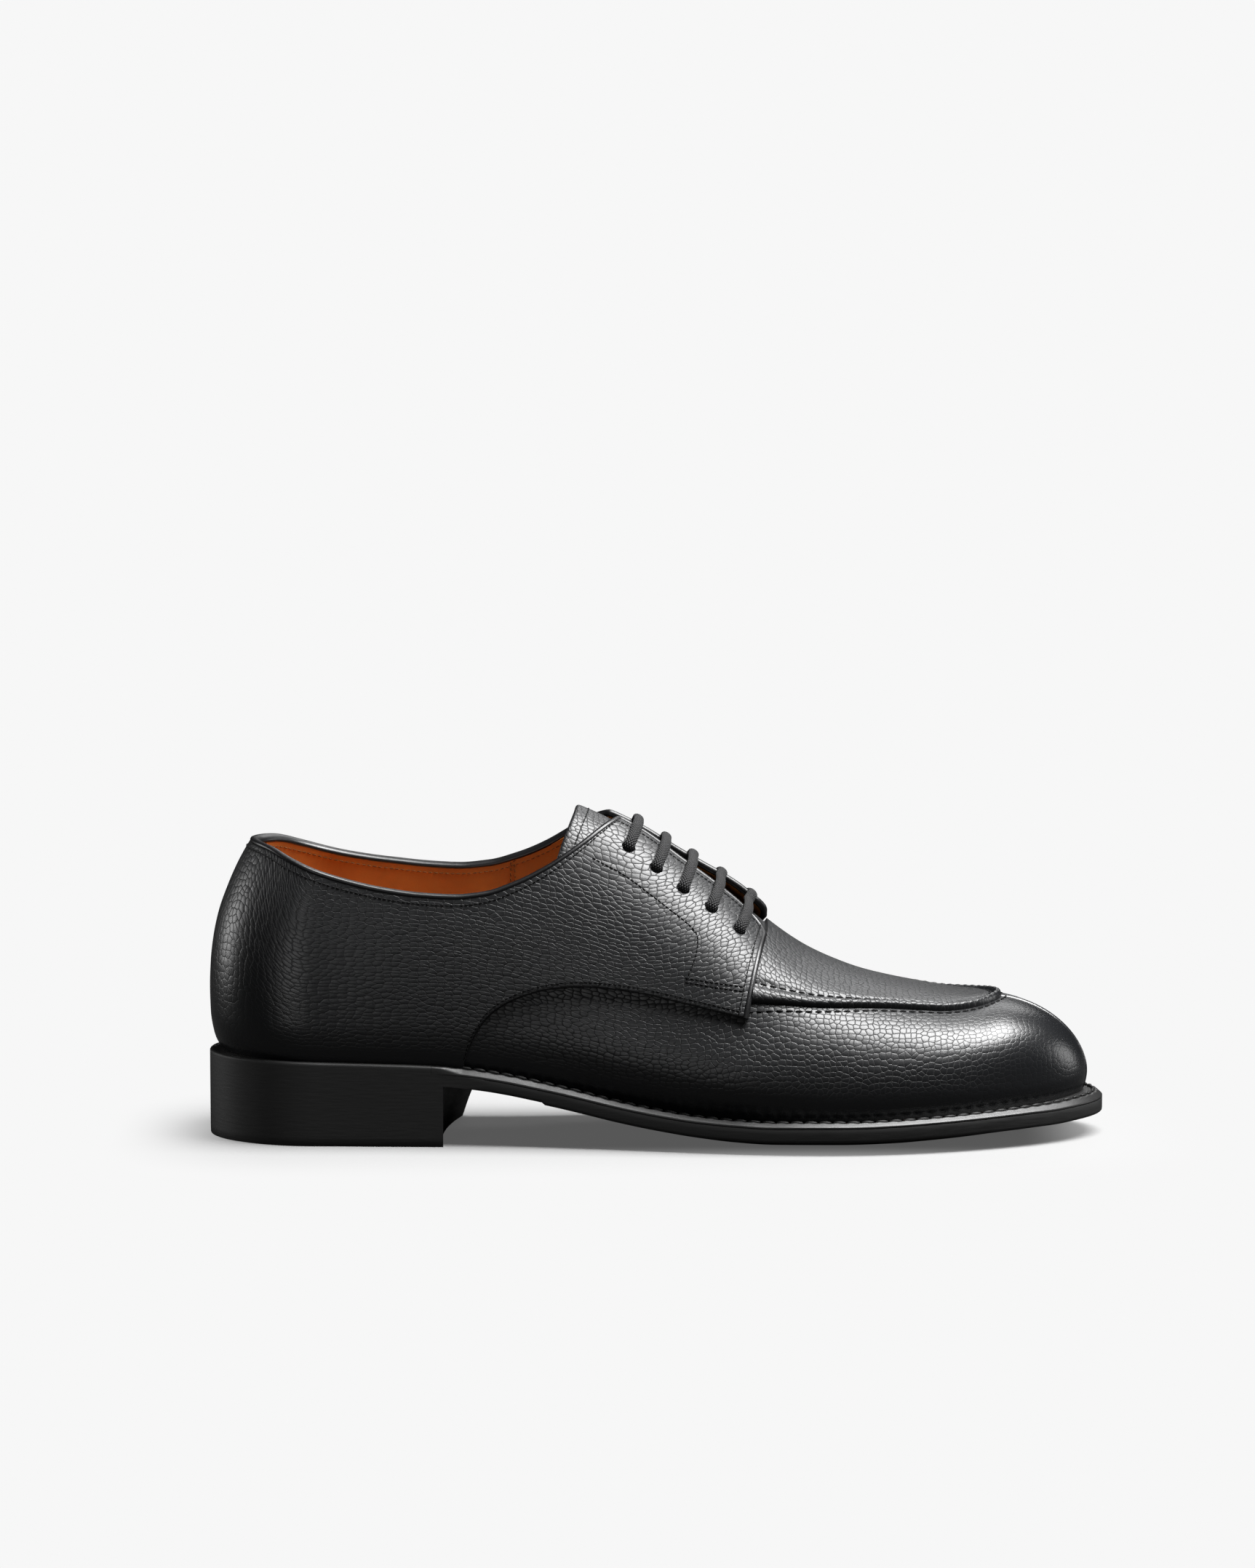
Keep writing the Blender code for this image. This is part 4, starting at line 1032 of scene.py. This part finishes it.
# The lip's section: distance in from the apron's edge, then height over the vamp.
LIP = [(0.0, 0.1), (0.12, 0.9), (0.4, 1.75), (0.9, 2.2), (1.5, 2.25), (2.1, 1.95), (2.7, 1.35), (3.2, 1.0),
       (3.7, 1.0), (4.4, 1.3), (5.4, 1.45), (80, 1.45)]
LIP_ROWS = np.array([0, 0.05, 0.12, 0.25, 0.4, 0.6, 0.9, 1.2, 1.5, 1.8, 2.1, 2.4, 2.7, 3.0, 3.3, 3.6, 4.0,
                     4.4, 5.0, 5.6])
PUCKER_PITCH = 3.3
PUCKER_DEPTH = 0.14
PUCKER_MIDDLE = 1.6
PUCKER_REACH = 1.3


def make_apron(finish):
    """The plug over the toes, its edge stitched up into a puckered lip."""
    px, py, reach = apron_border(LIP_ROWS)
    spine_rows = np.linspace(0, 1, 25)[1:]
    inner = LIP_ROWS[-1] + spine_rows * (reach[:, None] - LIP_ROWS[-1])
    insets = np.concatenate([np.broadcast_to(LIP_ROWS, (len(reach), len(LIP_ROWS))), inner], 1)
    px, py, reach = apron_border(insets)
    lift = Curve(LIP)(insets)
    along = path_lengths(plan_point(px[:, 0], py[:, 0], 0))[:, None]
    crown = np.exp(-((insets - PUCKER_MIDDLE) / PUCKER_REACH) ** 2)
    lift = lift + PUCKER_DEPTH * crown * np.cos(2 * math.pi * along / PUCKER_PITCH)
    form = Form()
    coords = plan_coords(px, py)
    top = form.grid(plan_point(px, py, VAMP_TOP + lift), coords=coords)
    under = form.grid(plan_point(px, py, VAMP_TOP + 0.05), coords=coords)
    for edge in ((slice(None), 0), (0,), (-1,)):
        form.strip(top[edge], under[edge])
    return make_piece("apron_panel", form, [finish], sharp=70)


TOE_LIP = [(-1.7, -0.4), (-1.45, 0.0), (-1.1, 0.36), (-0.75, 0.48), (-0.35, 0.32), (0.0, 0.0)]
TOE_SEAM_UNDER = 1.2


def make_toe_seam(finish):
    """The split toe's seam: two small lips with a groove between, from the apron down to the welt."""
    start = float(station_t(TOE_SEAM_START - TOE_SEAM_UNDER))
    t = np.concatenate([np.linspace(start, 3, 50), np.full(40, 3.0)])
    angle = np.concatenate([np.full(50, RIGHT_ANGLE), np.linspace(RIGHT_ANGLE, -RIGHT_ANGLE, 41)[1:]])
    middle = last_point(t, angle, MEDIAL, VAMP_TOP - 0.05)
    normal = last_normal(t, angle, MEDIAL)
    across = np.tile((0.0, 1.0, 0.0), (len(t), 1))
    profile = np.array(TOE_LIP + [(-a, b) for a, b in TOE_LIP[-2::-1]])
    form = Form()
    sweep(form, middle, across, normal, profile)
    return make_piece("toe_seam_lips", form, [finish], sharp=80)


# Tongue, eyelets and laces.
TONGUE_ACROSS = np.concatenate([[-1, -0.995, -0.985, -0.97], np.linspace(-0.94, 0.94, 41),
                                [0.97, 0.985, 0.995, 1]])
TONGUE_DOWN = np.concatenate([[0, 0.002, 0.006, 0.012], np.linspace(0.025, 1, 60)])


def tongue_grid(offset, edge):
    """Points and grain of one face of the tongue, its edges rounded inwards or outwards."""
    k = TONGUE_ACROSS[:, None]
    back = TONGUE_TOP - TONGUE_SWEEP * k * k
    x = back + (TONGUE_FRONT - back) * TONGUE_DOWN
    y = k * tongue_half(x)
    near = np.minimum((1 - np.abs(k)) * tongue_half(x), (x - back))
    return plan_point(x, y, offset - edge * edge_drop(near, TONGUE_ROUND)), plan_coords(x, y)


def make_tongue(outside, inside):
    form = Form()
    outer, coords = tongue_grid(TONGUE_OUTSIDE, 1.0)
    inner, coords = tongue_grid(TONGUE_INSIDE, -1.0)
    form.thick(outer, inner, coords)
    return make_piece("tongue_panel", form, [outside, inside], sharp=60)


def eyelet_x(i):
    return EYELET_FIRST + EYELET_PITCH * i


def cut_eyelets(pieces):
    """Punches the lace holes straight through the facings."""
    form = Form()
    for i in range(EYELET_COUNT):
        for side in (LATERAL, MEDIAL):
            t, angle = plan_angle(eyelet_x(i), eyelet_width[side](eyelet_x(i)), side)
            axis = last_normal(t, angle, side)
            level = unit(np.cross(axis, (0.3, 1.0, 0.0)))
            beside = np.cross(axis, level)
            ends = np.stack([last_point(t, angle, side, depth) for depth in EYELET_DEPTHS])
            hole = oval(2 * EYELET_RADIUS, 2 * EYELET_RADIUS, 18)
            sweep(form, ends, np.stack([level] * 2), np.stack([beside] * 2), hole)
    cutter = make_piece("eyelet_punch", form, [])
    for piece in pieces:
        punch = piece.modifiers.new("eyelets", "BOOLEAN")
        punch.operation = "DIFFERENCE"
        punch.object = cutter
        settle(piece)
    bpy.data.objects.remove(cutter)


def lace_route(i, aside=0.0):
    """Centre line of one lace bar, out of one eyelet, over the facings and into the other, or beside it."""
    x = eyelet_x(i)
    route = []
    for side in (LATERAL, MEDIAL):
        reach = float(eyelet_width[side](x))
        part = [(reach - inward, lift) for inward, lift in LACE_BEND]
        part += [(reach * out, LACE_LIFT - LACE_SAG * sag) for out, sag in LACE_BAR]
        if side == MEDIAL:
            part = [(0.0, LACE_LIFT - LACE_SAG)] + part[::-1]
        for y, lift in part:
            lean = LACE_LEAN * (1 - (y / reach) ** 2)
            rise = facing_spring(x, y) * min(y / LACE_CLIMB, 1) if side == MEDIAL else 0
            route.append(plan_point(x + lean + aside, side * y if y else 1e-6, lift + rise))
    return np.array(route)


def smooth_path(points, count):
    """A path through points, evened out along its length."""
    run = path_lengths(points)
    even = np.linspace(0, run[-1], count)
    return np.stack([Curve(np.stack([run, column], -1))(even) for column in points.T], -1)


LACE_POINTS = 120


def make_lace(i, finish):
    """One straight bar of flat waxed braid."""
    path = smooth_path(lace_route(i), LACE_POINTS)
    along = unit(np.gradient(path, axis=0))
    across = smooth_path(lace_route(i, 1.0), LACE_POINTS) - path
    across = unit(across - along * (across * along).sum(-1, keepdims=True))
    form = Form()
    sweep(form, path, across, np.cross(along, across), oval(LACE_WIDTH, LACE_THICK, 24))
    return make_piece(f"lace_braid_{i + 1}", form, [finish], sharp=80)


# Sole.
def edge_loop(stations):
    """Stations round the sole, lateral from the heel to the toe and medial back, with their sides."""
    t = np.concatenate([stations, stations[-2:0:-1]])
    side = np.concatenate([np.full(len(stations), LATERAL), np.full(len(stations) - 2, MEDIAL)])
    return t, side


def loop_points(t, side, reach):
    """Plan points for stations on both sides, at a reach outside the feather line."""
    reach = np.broadcast_to(reach, t.shape)
    return by_side(side, *(edge_point(t, s, reach) for s in (LATERAL, MEDIAL)))


def set_heights(plan, heights):
    made = plan.copy()
    made[..., 2] = heights(plan[..., 0], plan[..., 1])
    return made


# Stations round the sole, close together at the tread's step, and the ends of the spine that plates close on.
SOLE_STATIONS = np.concatenate([spread((0, 1, 41), (1, float(station_t(112.4)), 31)),
                                station_t(np.linspace(112.9, 113.5, 7)),
                                spread((float(station_t(114.5)), 2, 50), (2, 3, 71))])
SOLE_LOOP = edge_loop(SOLE_STATIONS)
LOOP_X = station_x(SOLE_LOOP[0])
SOLE_SPINE = (26, 272)


def make_plate(name, rings, materials, side_bands=()):
    """A closed plate round the sole's outline. Rings hold an inset from the edge and a height function. The
    side bands between rings take the second material."""
    t, side = SOLE_LOOP
    whole = edge_reach(LOOP_X)
    rows = [set_heights(loop_points(t, side, whole - inset), heights) for inset, heights in rings]
    spine = np.stack([np.clip(LOOP_X, *SOLE_SPINE), last["swing"](LOOP_X), np.zeros_like(t)], -1)
    first, final = (set_heights(spine, heights) for heights in (rings[0][1], rings[-1][1]))
    form = Form()
    form.grid(np.stack([first] + rows + [final]), wrap=True)
    bands = [int(band in side_bands) for band in range(len(rings) + 1)]
    form.slots = np.repeat(bands, len(t)).tolist()
    return make_piece(name, form, materials, sharp=45)


HEEL_FLUSH = (89.0, 97.0)


def make_outsole(finish, edge_finish):
    """The rubber sole with inked sides. Its edges are eased forward of the heel, and flush with the heel."""
    eased = 1 - fade(LOOP_X, HEEL_FLUSH)

    def over(drop):
        return lambda x, y: sole_line(x, y) + OUTSOLE_THICK - drop

    def under(rise):
        return lambda x, y: under_sole(x, y) + rise

    rings = [(9.0, over(0)), (0.3 * eased, over(0)), (0.06 * eased, over(0.05)), (0.0, over(0.2)),
             (0.0, over(1.6)), (0.0, under(1.0)), (0.1 * eased, under(0.3)), (0.3 * eased, under(0.08)),
             (0.7 * eased, under(0)), (3.0, under(0)), (7.0, under(0)), (13.0, under(0)), (19.0, under(0))]
    return make_plate("outsole_rubber", rings, [finish, edge_finish], side_bands=range(2, 9))


INSOLE_CLEAR = 0.5
INSOLE_UNDER = 0.2


def make_insole(finish):
    """The sock inside, a little hollow, with its edge just inside the wall."""
    def top(rise):
        return lambda x, y: seat_height(x, y) + INSOLE_RISE + rise

    def under(x, y):
        return sole_line(x, y) + OUTSOLE_THICK + INSOLE_UNDER

    def at(inset):
        return inset + INSOLE_CLEAR + edge_reach(LOOP_X)

    rings = [(at(6.0), under), (at(0.0), under), (at(0.0), top(-0.4)), (at(0.5), top(0)),
             (at(3.0), top(-0.2)), (at(8.0), top(-0.4)), (at(14.0), top(-0.5))]
    return make_plate("insole_sock", rings, [finish])


# Section of welt and rand: distance in from the sole's edge, then height up from the outsole.
WELT_SECTION = [(0.3, 0.0), (0.05, 0.05), (0.0, 0.2), (0.0, 0.5), (0.05, 0.7), (0.2, 0.88), (0.8, 1.45),
                (1.35, 1.98), (1.55, 2.18), (1.8, 2.34), (2.3, 2.36), (3.2, 2.15), (4.3, 2.2), (5.2, 2.6)]
RAND_SECTION = [(0.0, 0.0), (0.0, 0.03), (0.0, 0.1), (0.0, 0.5), (0.0, 1.0), (0.0, 1.6), (0.02, 2.0),
                (0.12, 2.25), (0.5, 2.6), (0.9, 2.7), (1.8, 2.7), (2.8, 2.7), (4.0, 2.7), (5.2, 2.7)]
WELT_RISE = (WELT_START + 1, WELT_START + 11)
WELT_STITCH = 4.7
WELT_CREST = (1.7, 4.0)
WELT_CRIMP = 0.1
RING_FOOT = 0.1
RING_TOP = 2.65


def make_ring(name, stations, crimp, finish):
    """A strip on the outsole's edge, from the upper's foot to the sole's edge: a rand round the heel that
    opens into a bevelled welt."""
    t, side = stations
    whole = edge_reach(station_x(t))
    run = path_lengths(loop_points(t, side, whole))
    seat = fade(station_x(t), WELT_RISE)
    wave = crimp * (1 - seat) * np.cos(2 * math.pi * run / WELT_STITCH)
    rows = []

    def add_row(reach, rise):
        plan = loop_points(t, side, reach)
        plan[:, 2] = sole_line(plan[:, 0], plan[:, 1]) + OUTSOLE_THICK + rise
        rows.append(plan)

    add_row(np.full_like(whole, RING_FOOT), np.zeros_like(whole))
    for (welt_in, welt_up), (rand_in, rand_up) in zip(WELT_SECTION, RAND_SECTION):
        crest = wave * (WELT_CREST[0] < welt_in < WELT_CREST[1])
        add_row(whole - welt_in - (rand_in - welt_in) * seat, welt_up + (rand_up - welt_up) * seat + crest)
    add_row(np.full_like(whole, RING_FOOT), np.full_like(whole, RING_TOP))
    form = Form()
    index = form.grid(np.stack(rows, 1), wrap=True)
    form.cap(index[0])
    form.cap(index[-1])
    return make_piece(name, form, [finish], sharp=50)


def open_loop(counts, round_toe):
    """Stations along one side, round the toe or the heel, and back along the other."""
    forward = spread(*counts)
    out, back = (forward, forward[-2::-1]) if round_toe else (forward[::-1], forward[1:])
    side = np.concatenate([np.full(len(out), LATERAL), np.full(len(back), MEDIAL)])
    return np.concatenate([out, back]), side


RAND_GAP = 0.05
WELT_LOOP = open_loop(((float(station_t(WELT_START)), 2, 330), (2, 3, 190)), True)
RAND_LOOP = open_loop(((0, 1, 60), (1, float(station_t(WELT_START - RAND_GAP)), 30)), False)
HEEL_SHARES = np.linspace(0, 1, 50) ** 1.6


def heel_outline(inset, medial_end):
    """Plan outline of the heel: round the back, and a hollow breast that runs further forward inside."""
    lateral, medial = (HEEL_SHARES * float(station_t(end)) for end in (BREAST_LATERAL, medial_end))
    round_back = np.concatenate([sole_edge(lateral[::-1], LATERAL, inset),
                                 sole_edge(medial[1:], MEDIAL, inset)])
    start, end = round_back[-1], round_back[0]
    k = np.linspace(-1, 1, 30)[1:-1, None]
    breast = start + (end - start) * (k + 1) / 2 - np.array([BREAST_HOLLOW, 0, 0]) * (1 - k * k)
    return np.concatenate([round_back, breast])


def make_heel_layer(name, rings, finish, edge_finish):
    """One block of the heel. Rings hold an inset, a level for the breast's slant and a height function."""
    form = Form()
    slant = Curve(BREAST_SLANT)
    rows = [set_heights(heel_outline(inset, float(slant(level))), heights) for inset, level, heights in rings]
    index = form.grid(np.stack(rows), slot=1, wrap=True)
    form.cap(index[0])
    form.cap(index[-1])
    return make_piece(name, form, [finish, edge_finish], sharp=35)


HEEL_SEAM = 0.06
SEAT_SEAM = 0.01


def make_heel(stack_finish, rubber_finish):
    """The top piece and the stack over it, flush with each other and with the sole."""
    def level(z):
        return lambda x, y: np.full_like(x, z)

    def stack(share):
        base = TOP_PIECE_THICK + HEEL_SEAM
        return lambda x, y: base + share * (under_sole(x, y) - SEAT_SEAM - base)

    tread = [(0.5, 0, level(0.0)), (0.25, 0.1, level(0.1)), (0.1, 0.4, level(0.4)), (0.03, 3, level(3.0)),
             (0.03, 6, level(6.05))]
    lifts = [(0.03, 6, stack(0)), (0.02, 9, stack(0.25)), (0.02, 11, stack(0.4)), (0.01, 14, stack(0.6)),
             (0.0, 20, stack(1))]
    return (make_heel_layer("heel_tread", tread, rubber_finish, stack_finish),
            make_heel_layer("heel_lifts", lifts, stack_finish, stack_finish))


# Assembly of the upper.
vamp = make_wall("upper_leather", LINING_TOP, VAMP_TOP, grain_leather, full=1.0)
lining = make_wall("upper_lining", 0.0, LINING_TOP - LAYER_GAP, lining_leather)
SIDES = ((LATERAL, "lateral"), (MEDIAL, "medial"))
quarters = [make_quarter(f"quarter_panel_{name}", side, grain_leather, lining_leather)
            for side, name in SIDES]
cut_eyelets([vamp, lining] + quarters)
dress(vamp, "black_grain_leather", "upper")
dress(lining, "tan_lining_leather")
for quarter, (_, name) in zip(quarters, SIDES):
    dress(quarter, "black_grain_leather", f"quarter_{name}")
for side, name in SIDES:
    dress(make_bead(f"edge_bead_{name}", side, bead_leather), "black_grain_leather")
dress(make_apron(grain_leather), "black_grain_leather", "apron")
dress(make_toe_seam(grain_leather), "black_grain_leather", "toe_seam")
dress(make_tongue(grain_leather, lining_leather), "black_grain_leather", "tongue")
for bar in range(EYELET_COUNT):
    dress(make_lace(bar, lace_cotton), "waxed_black_cotton", f"lace_bar_{bar + 1}")

# Assembly of the sole.
dress(make_outsole(sole_rubber, edge_leather), "black_rubber", "outsole")
dress(make_insole(lining_leather), "tan_lining_leather", "insole")
dress(make_ring("welt_strip", WELT_LOOP, WELT_CRIMP, welt_leather), "black_edge_leather", "welt")
dress(make_ring("heel_seat_rand", RAND_LOOP, 0.0, edge_leather), "black_edge_leather", "heel_rand")
heel_tread, heel_lifts = make_heel(edge_leather, sole_rubber)
dress(heel_tread, "black_rubber", "heel_top_piece")
dress(heel_lifts, "black_edge_leather", "heel_stack")

# Stitch rows. The facing seam is set by places along the foot and heights on the last.
FACING_SEAM = [(129.6, 94.1), (139.4, 88.8), (149.3, 81.6), (154.3, 77.8), (159.4, 74.0), (162.4, 71.3),
               (163.9, 69.0), (164.1, 66.8), (163.6, 63.4), (162.5, 59.8), (161.2, 56.7)]
FACING_FOOT = [(161.2, 56.7), (166.0, 55.8), (170.0, 55.0), (175.0, 54.1), (178.4, 53.4)]
ROW_PAIR = 1.3
TOP_ROW_IN = 2.6
TOP_ROW_END = 178
FRONT_ROW_IN = 2.0
FRONT_ROW = np.linspace(0.97, 0.03, 40)
LOW_ROW_IN = 1.9
LOW_ROW_ENDS = (87, 178.2)
THREAD_LIFT = 0.05
LIP_ROW_IN = 3.5
LIP_ROW_LIFT = 1.0
FOOT_ROW_OUT = 1.3
LINING_ROW_IN = 2.1
LINING_ROW = np.linspace(12, 119, 120)
LINING_SEAM = 102.0
ZIGZAG = np.arange(28)
ZIGZAG_HALF = 0.8
ZIGZAG_FROM = 0.5
ZIGZAG_STEP = 0.95
WELT_SEWN = 87.0
WELT_ROW_IN = 3.1
WELT_ROW_UP = 2.5
TONGUE_ROW_IN = 4.0
TONGUE_ROW_HALF = 0.86
# Pitch, length and thickness of the stitches.
FINE_STITCH = (1.6, 1.4, 0.5)
APRON_STITCH = (PUCKER_PITCH, 2.5, 0.85)
LINING_STITCH = (1.9, 1.5, 0.45)
SOLE_STITCH = (WELT_STITCH, 4.5, 1.5)


def seam_path(side, places, drop, offset):
    """A smooth path over the quarter through places along the foot and heights on the last."""
    x, z = smooth_path(np.array(places), 60).T
    t = station_t(x)
    return quarter_point(t, theta_at_height(t, side, z - drop), side, np.full_like(x, offset))


def below_top(side, xs, drop, offset):
    """Places on the wall, so far down from its upper edge."""
    t = station_t(xs)[:, None]
    angle = wall_top(t, side) - np.linspace(0, 0.9, 91)
    run = path_lengths(last_point(t, angle, side, offset))
    drops = np.broadcast_to(drop, xs.shape)
    found = [np.interp(wanted, row, turn) for wanted, row, turn in zip(drops, run, angle)]
    return last_point(t[:, 0], np.array(found), side, offset)


OVER_QUARTER = QUARTER_TOP + THREAD_LIFT
upper_rows = []
for side in (LATERAL, MEDIAL):
    top_lows = QUARTER_LOWS[QUARTER_LOWS < TOP_ROW_END]
    low_lows = QUARTER_LOWS[(QUARTER_LOWS > LOW_ROW_ENDS[0]) & (QUARTER_LOWS < LOW_ROW_ENDS[1])][::-1]
    upper_rows += [quarter_path(side, top_lows, TOP_ROW_IN, True, OVER_QUARTER),
                   front_path(side, FRONT_ROW_IN, FRONT_ROW, OVER_QUARTER),
                   quarter_path(side, low_lows, LOW_ROW_IN, False, OVER_QUARTER),
                   seam_path(side, FACING_SEAM, 0, OVER_QUARTER)]
    upper_rows += [seam_path(side, FACING_FOOT, drop, OVER_QUARTER) for drop in (0, ROW_PAIR)]
make_stitches("quarter_stitches", upper_rows, FINE_STITCH, upper_thread, "black_grain_leather")

apron_rows = []
for inset, lift in ((LIP_ROW_IN, LIP_ROW_LIFT), (-FOOT_ROW_OUT, THREAD_LIFT)):
    px, py, reach = apron_border(np.array([inset]))
    apron_rows.append(plan_point(px[:, 0], py[:, 0], VAMP_TOP + lift))
make_stitches("apron_stitches", apron_rows, APRON_STITCH, upper_thread, "black_grain_leather")

lining_rows = []
for side in (LATERAL, MEDIAL):
    lining_rows.append(below_top(side, LINING_ROW, LINING_ROW_IN, -THREAD_LIFT))
    lining_rows.append(below_top(side, LINING_SEAM + ZIGZAG_HALF * (-1.0) ** ZIGZAG,
                                 ZIGZAG_FROM + ZIGZAG_STEP * ZIGZAG, -THREAD_LIFT))
make_stitches("lining_stitches", lining_rows, LINING_STITCH, lining_thread, "tan_lining_leather")

sewn = station_x(WELT_LOOP[0]) > WELT_SEWN
welt_t, welt_side = WELT_LOOP[0][sewn], WELT_LOOP[1][sewn]
welt_plan = loop_points(welt_t, welt_side, edge_reach(station_x(welt_t)) - WELT_ROW_IN)
welt_row = set_heights(welt_plan, lambda x, y: sole_line(x, y) + OUTSOLE_THICK + WELT_ROW_UP)
make_stitches("welt_stitches", [welt_row], SOLE_STITCH, welt_thread, "black_edge_leather")

tongue_k = np.linspace(-TONGUE_ROW_HALF, TONGUE_ROW_HALF, 50)
tongue_back = TONGUE_TOP + TONGUE_ROW_IN - TONGUE_SWEEP * tongue_k ** 2
tongue_row = plan_point(tongue_back, tongue_k * tongue_half(tongue_back), TONGUE_OUTSIDE + THREAD_LIFT)
make_stitches("tongue_stitches", [tongue_row], FINE_STITCH, upper_thread, "black_grain_leather")


# Floor, light and camera, in metres.
# Half size of the patch of floor under the shoe that keeps its shadow, how far the shadow fades round it, and
# how much the painted white glow lifts the shadow.
FOOTPRINT = (0.122, 0.03, 0.0)
SHADOW_REACH = 0.065
SHADOW_LIFT = 0.1
SWEEP_FLOOR = 2.6
SWEEP_BEND = 0.9
SWEEP_TOP = 4.0


def make_stage():
    """A pale sweep, a level floor that curves up all round. To the camera it glows a painted even white,
    except near the shoe, where the lit paper and its real shadow show.
    """
    made, tree, shader = new_material("pale_studio_paper", Roughness=0.9, Specular_IOR_Level=0.0)
    seen = add(tree, "ShaderNodeLightPath").outputs["Is Camera Ray"]
    # The paper is #8c8c8c to the camera and #2a2a2a to all other rays, so the shoe reflects and catches
    # little light from it.
    dye(tree, shader, seen, "#2a2a2a", "#8c8c8c")

    def step(operation, *values):
        return add(tree, "ShaderNodeVectorMath", dict(enumerate(values)), operation=operation).outputs

    beside = step("ABSOLUTE", object_place(tree))["Vector"]
    outside = step("SUBTRACT", beside, FOOTPRINT)["Vector"]
    away = step("LENGTH", step("MAXIMUM", outside, (0.0, 0.0, 0.0))["Vector"])["Value"]
    even = scaled(tree, ramp(tree, away, 0.0, SHADOW_REACH), SHADOW_LIFT, 1.0)
    # Painted light: to the camera the floor glows an even white, fading towards the footprint so that the
    # lamps' shadow shows there, lifted by SHADOW_LIFT.
    glow = add(tree, "ShaderNodeEmission", {"Color": colour("#f7f7f7")})
    share = math_node(tree, "MULTIPLY", seen, even)
    joined = add(tree, "ShaderNodeMixShader", {0: share, 1: shader.outputs[0], 2: glow.outputs[0]})
    tree.links.new(joined.outputs[0], tree.nodes["Material Output"].inputs["Surface"])
    bend = [(SWEEP_FLOOR + SWEEP_BEND * math.sin(a), SWEEP_BEND - SWEEP_BEND * math.cos(a))
            for a in np.linspace(0, RIGHT_ANGLE, 16)]
    profile = [(0.02, 0.0), (0.5, 0.0)] + bend + [(SWEEP_FLOOR + SWEEP_BEND, SWEEP_TOP)]
    turns = np.linspace(0, 2 * math.pi, 64, endpoint=False)
    points = [(r * math.cos(a), r * math.sin(a), z) for r, z in profile for a in turns]
    rings = np.arange(len(points)).reshape(len(profile), len(turns))
    ahead = np.roll(rings, -1, axis=1)
    faces = np.stack([rings[:-1], ahead[:-1], ahead[1:], rings[1:]], -1).reshape(-1, 4)[:, ::-1].tolist()
    faces.append(rings[0].tolist())
    mesh = bpy.data.meshes.new("studio_sweep")
    mesh.from_pydata(points, [], faces)
    mesh.shade_smooth()
    mesh.materials.append(made)
    sweep_sheet = bpy.data.objects.new("studio_sweep", mesh)
    bpy.context.collection.objects.link(sweep_sheet)


def face(thing, place, aim):
    """Sets a lamp or camera at a place, turned to an aim."""
    thing.location = place
    thing.rotation_euler = (Vector(aim) - Vector(place)).to_track_quat("-Z", "Y").to_euler()
    bpy.context.collection.objects.link(thing)


def add_softbox(name, place, aim, size, power):
    lamp = bpy.data.lights.new(name, "AREA")
    lamp.shape = "RECTANGLE"
    lamp.size, lamp.size_y = size
    lamp.energy = power
    face(bpy.data.objects.new(name, lamp), place, aim)


make_stage()
add_softbox("overhead_softbox", (0.52, -0.1, 1.24), (0.05, 0.0, 0.05), (0.7, 1.0), 70)
add_softbox("low_left_softbox", (-0.65, -1.5, 0.22), (0.0, 0.0, 0.05), (0.5, 0.4), 2.2)
add_softbox("back_softbox", (0.35, 1.3, 1.0), (0.05, 0.0, 0.05), (0.8, 0.5), 4)
add_softbox("heel_rim_softbox", (-1.5, 0.4, 0.3), (-0.1, 0.0, 0.05), (0.5, 0.5), 6)
add_softbox("toe_rim_softbox", (1.5, 0.4, 0.3), (0.1, 0.0, 0.05), (0.5, 0.5), 3)

world = bpy.data.worlds.new("studio")
world.use_nodes = True
sky = world.node_tree.nodes["Background"].inputs
sky["Color"].default_value = colour("#ffffff")
sky["Strength"].default_value = 0.06
bpy.context.scene.world = world
bpy.context.scene.view_settings.view_transform = "Standard"

AIM = Vector((141.2 - LENGTH / 2, -MIDDLE, 118.2)) * MM
CAMERA_BACK = 2.0
CAMERA_UP = 0.2258
FRAME_WIDTH = 0.4225
lens = bpy.data.cameras.new("camera")
lens.sensor_fit = "HORIZONTAL"
lens.sensor_width = 36.0
lens.lens = lens.sensor_width * math.hypot(CAMERA_BACK, CAMERA_UP) / FRAME_WIDTH
camera = bpy.data.objects.new("camera", lens)
face(camera, AIM + Vector((0, -CAMERA_BACK, CAMERA_UP)), AIM)
bpy.context.scene.camera = camera
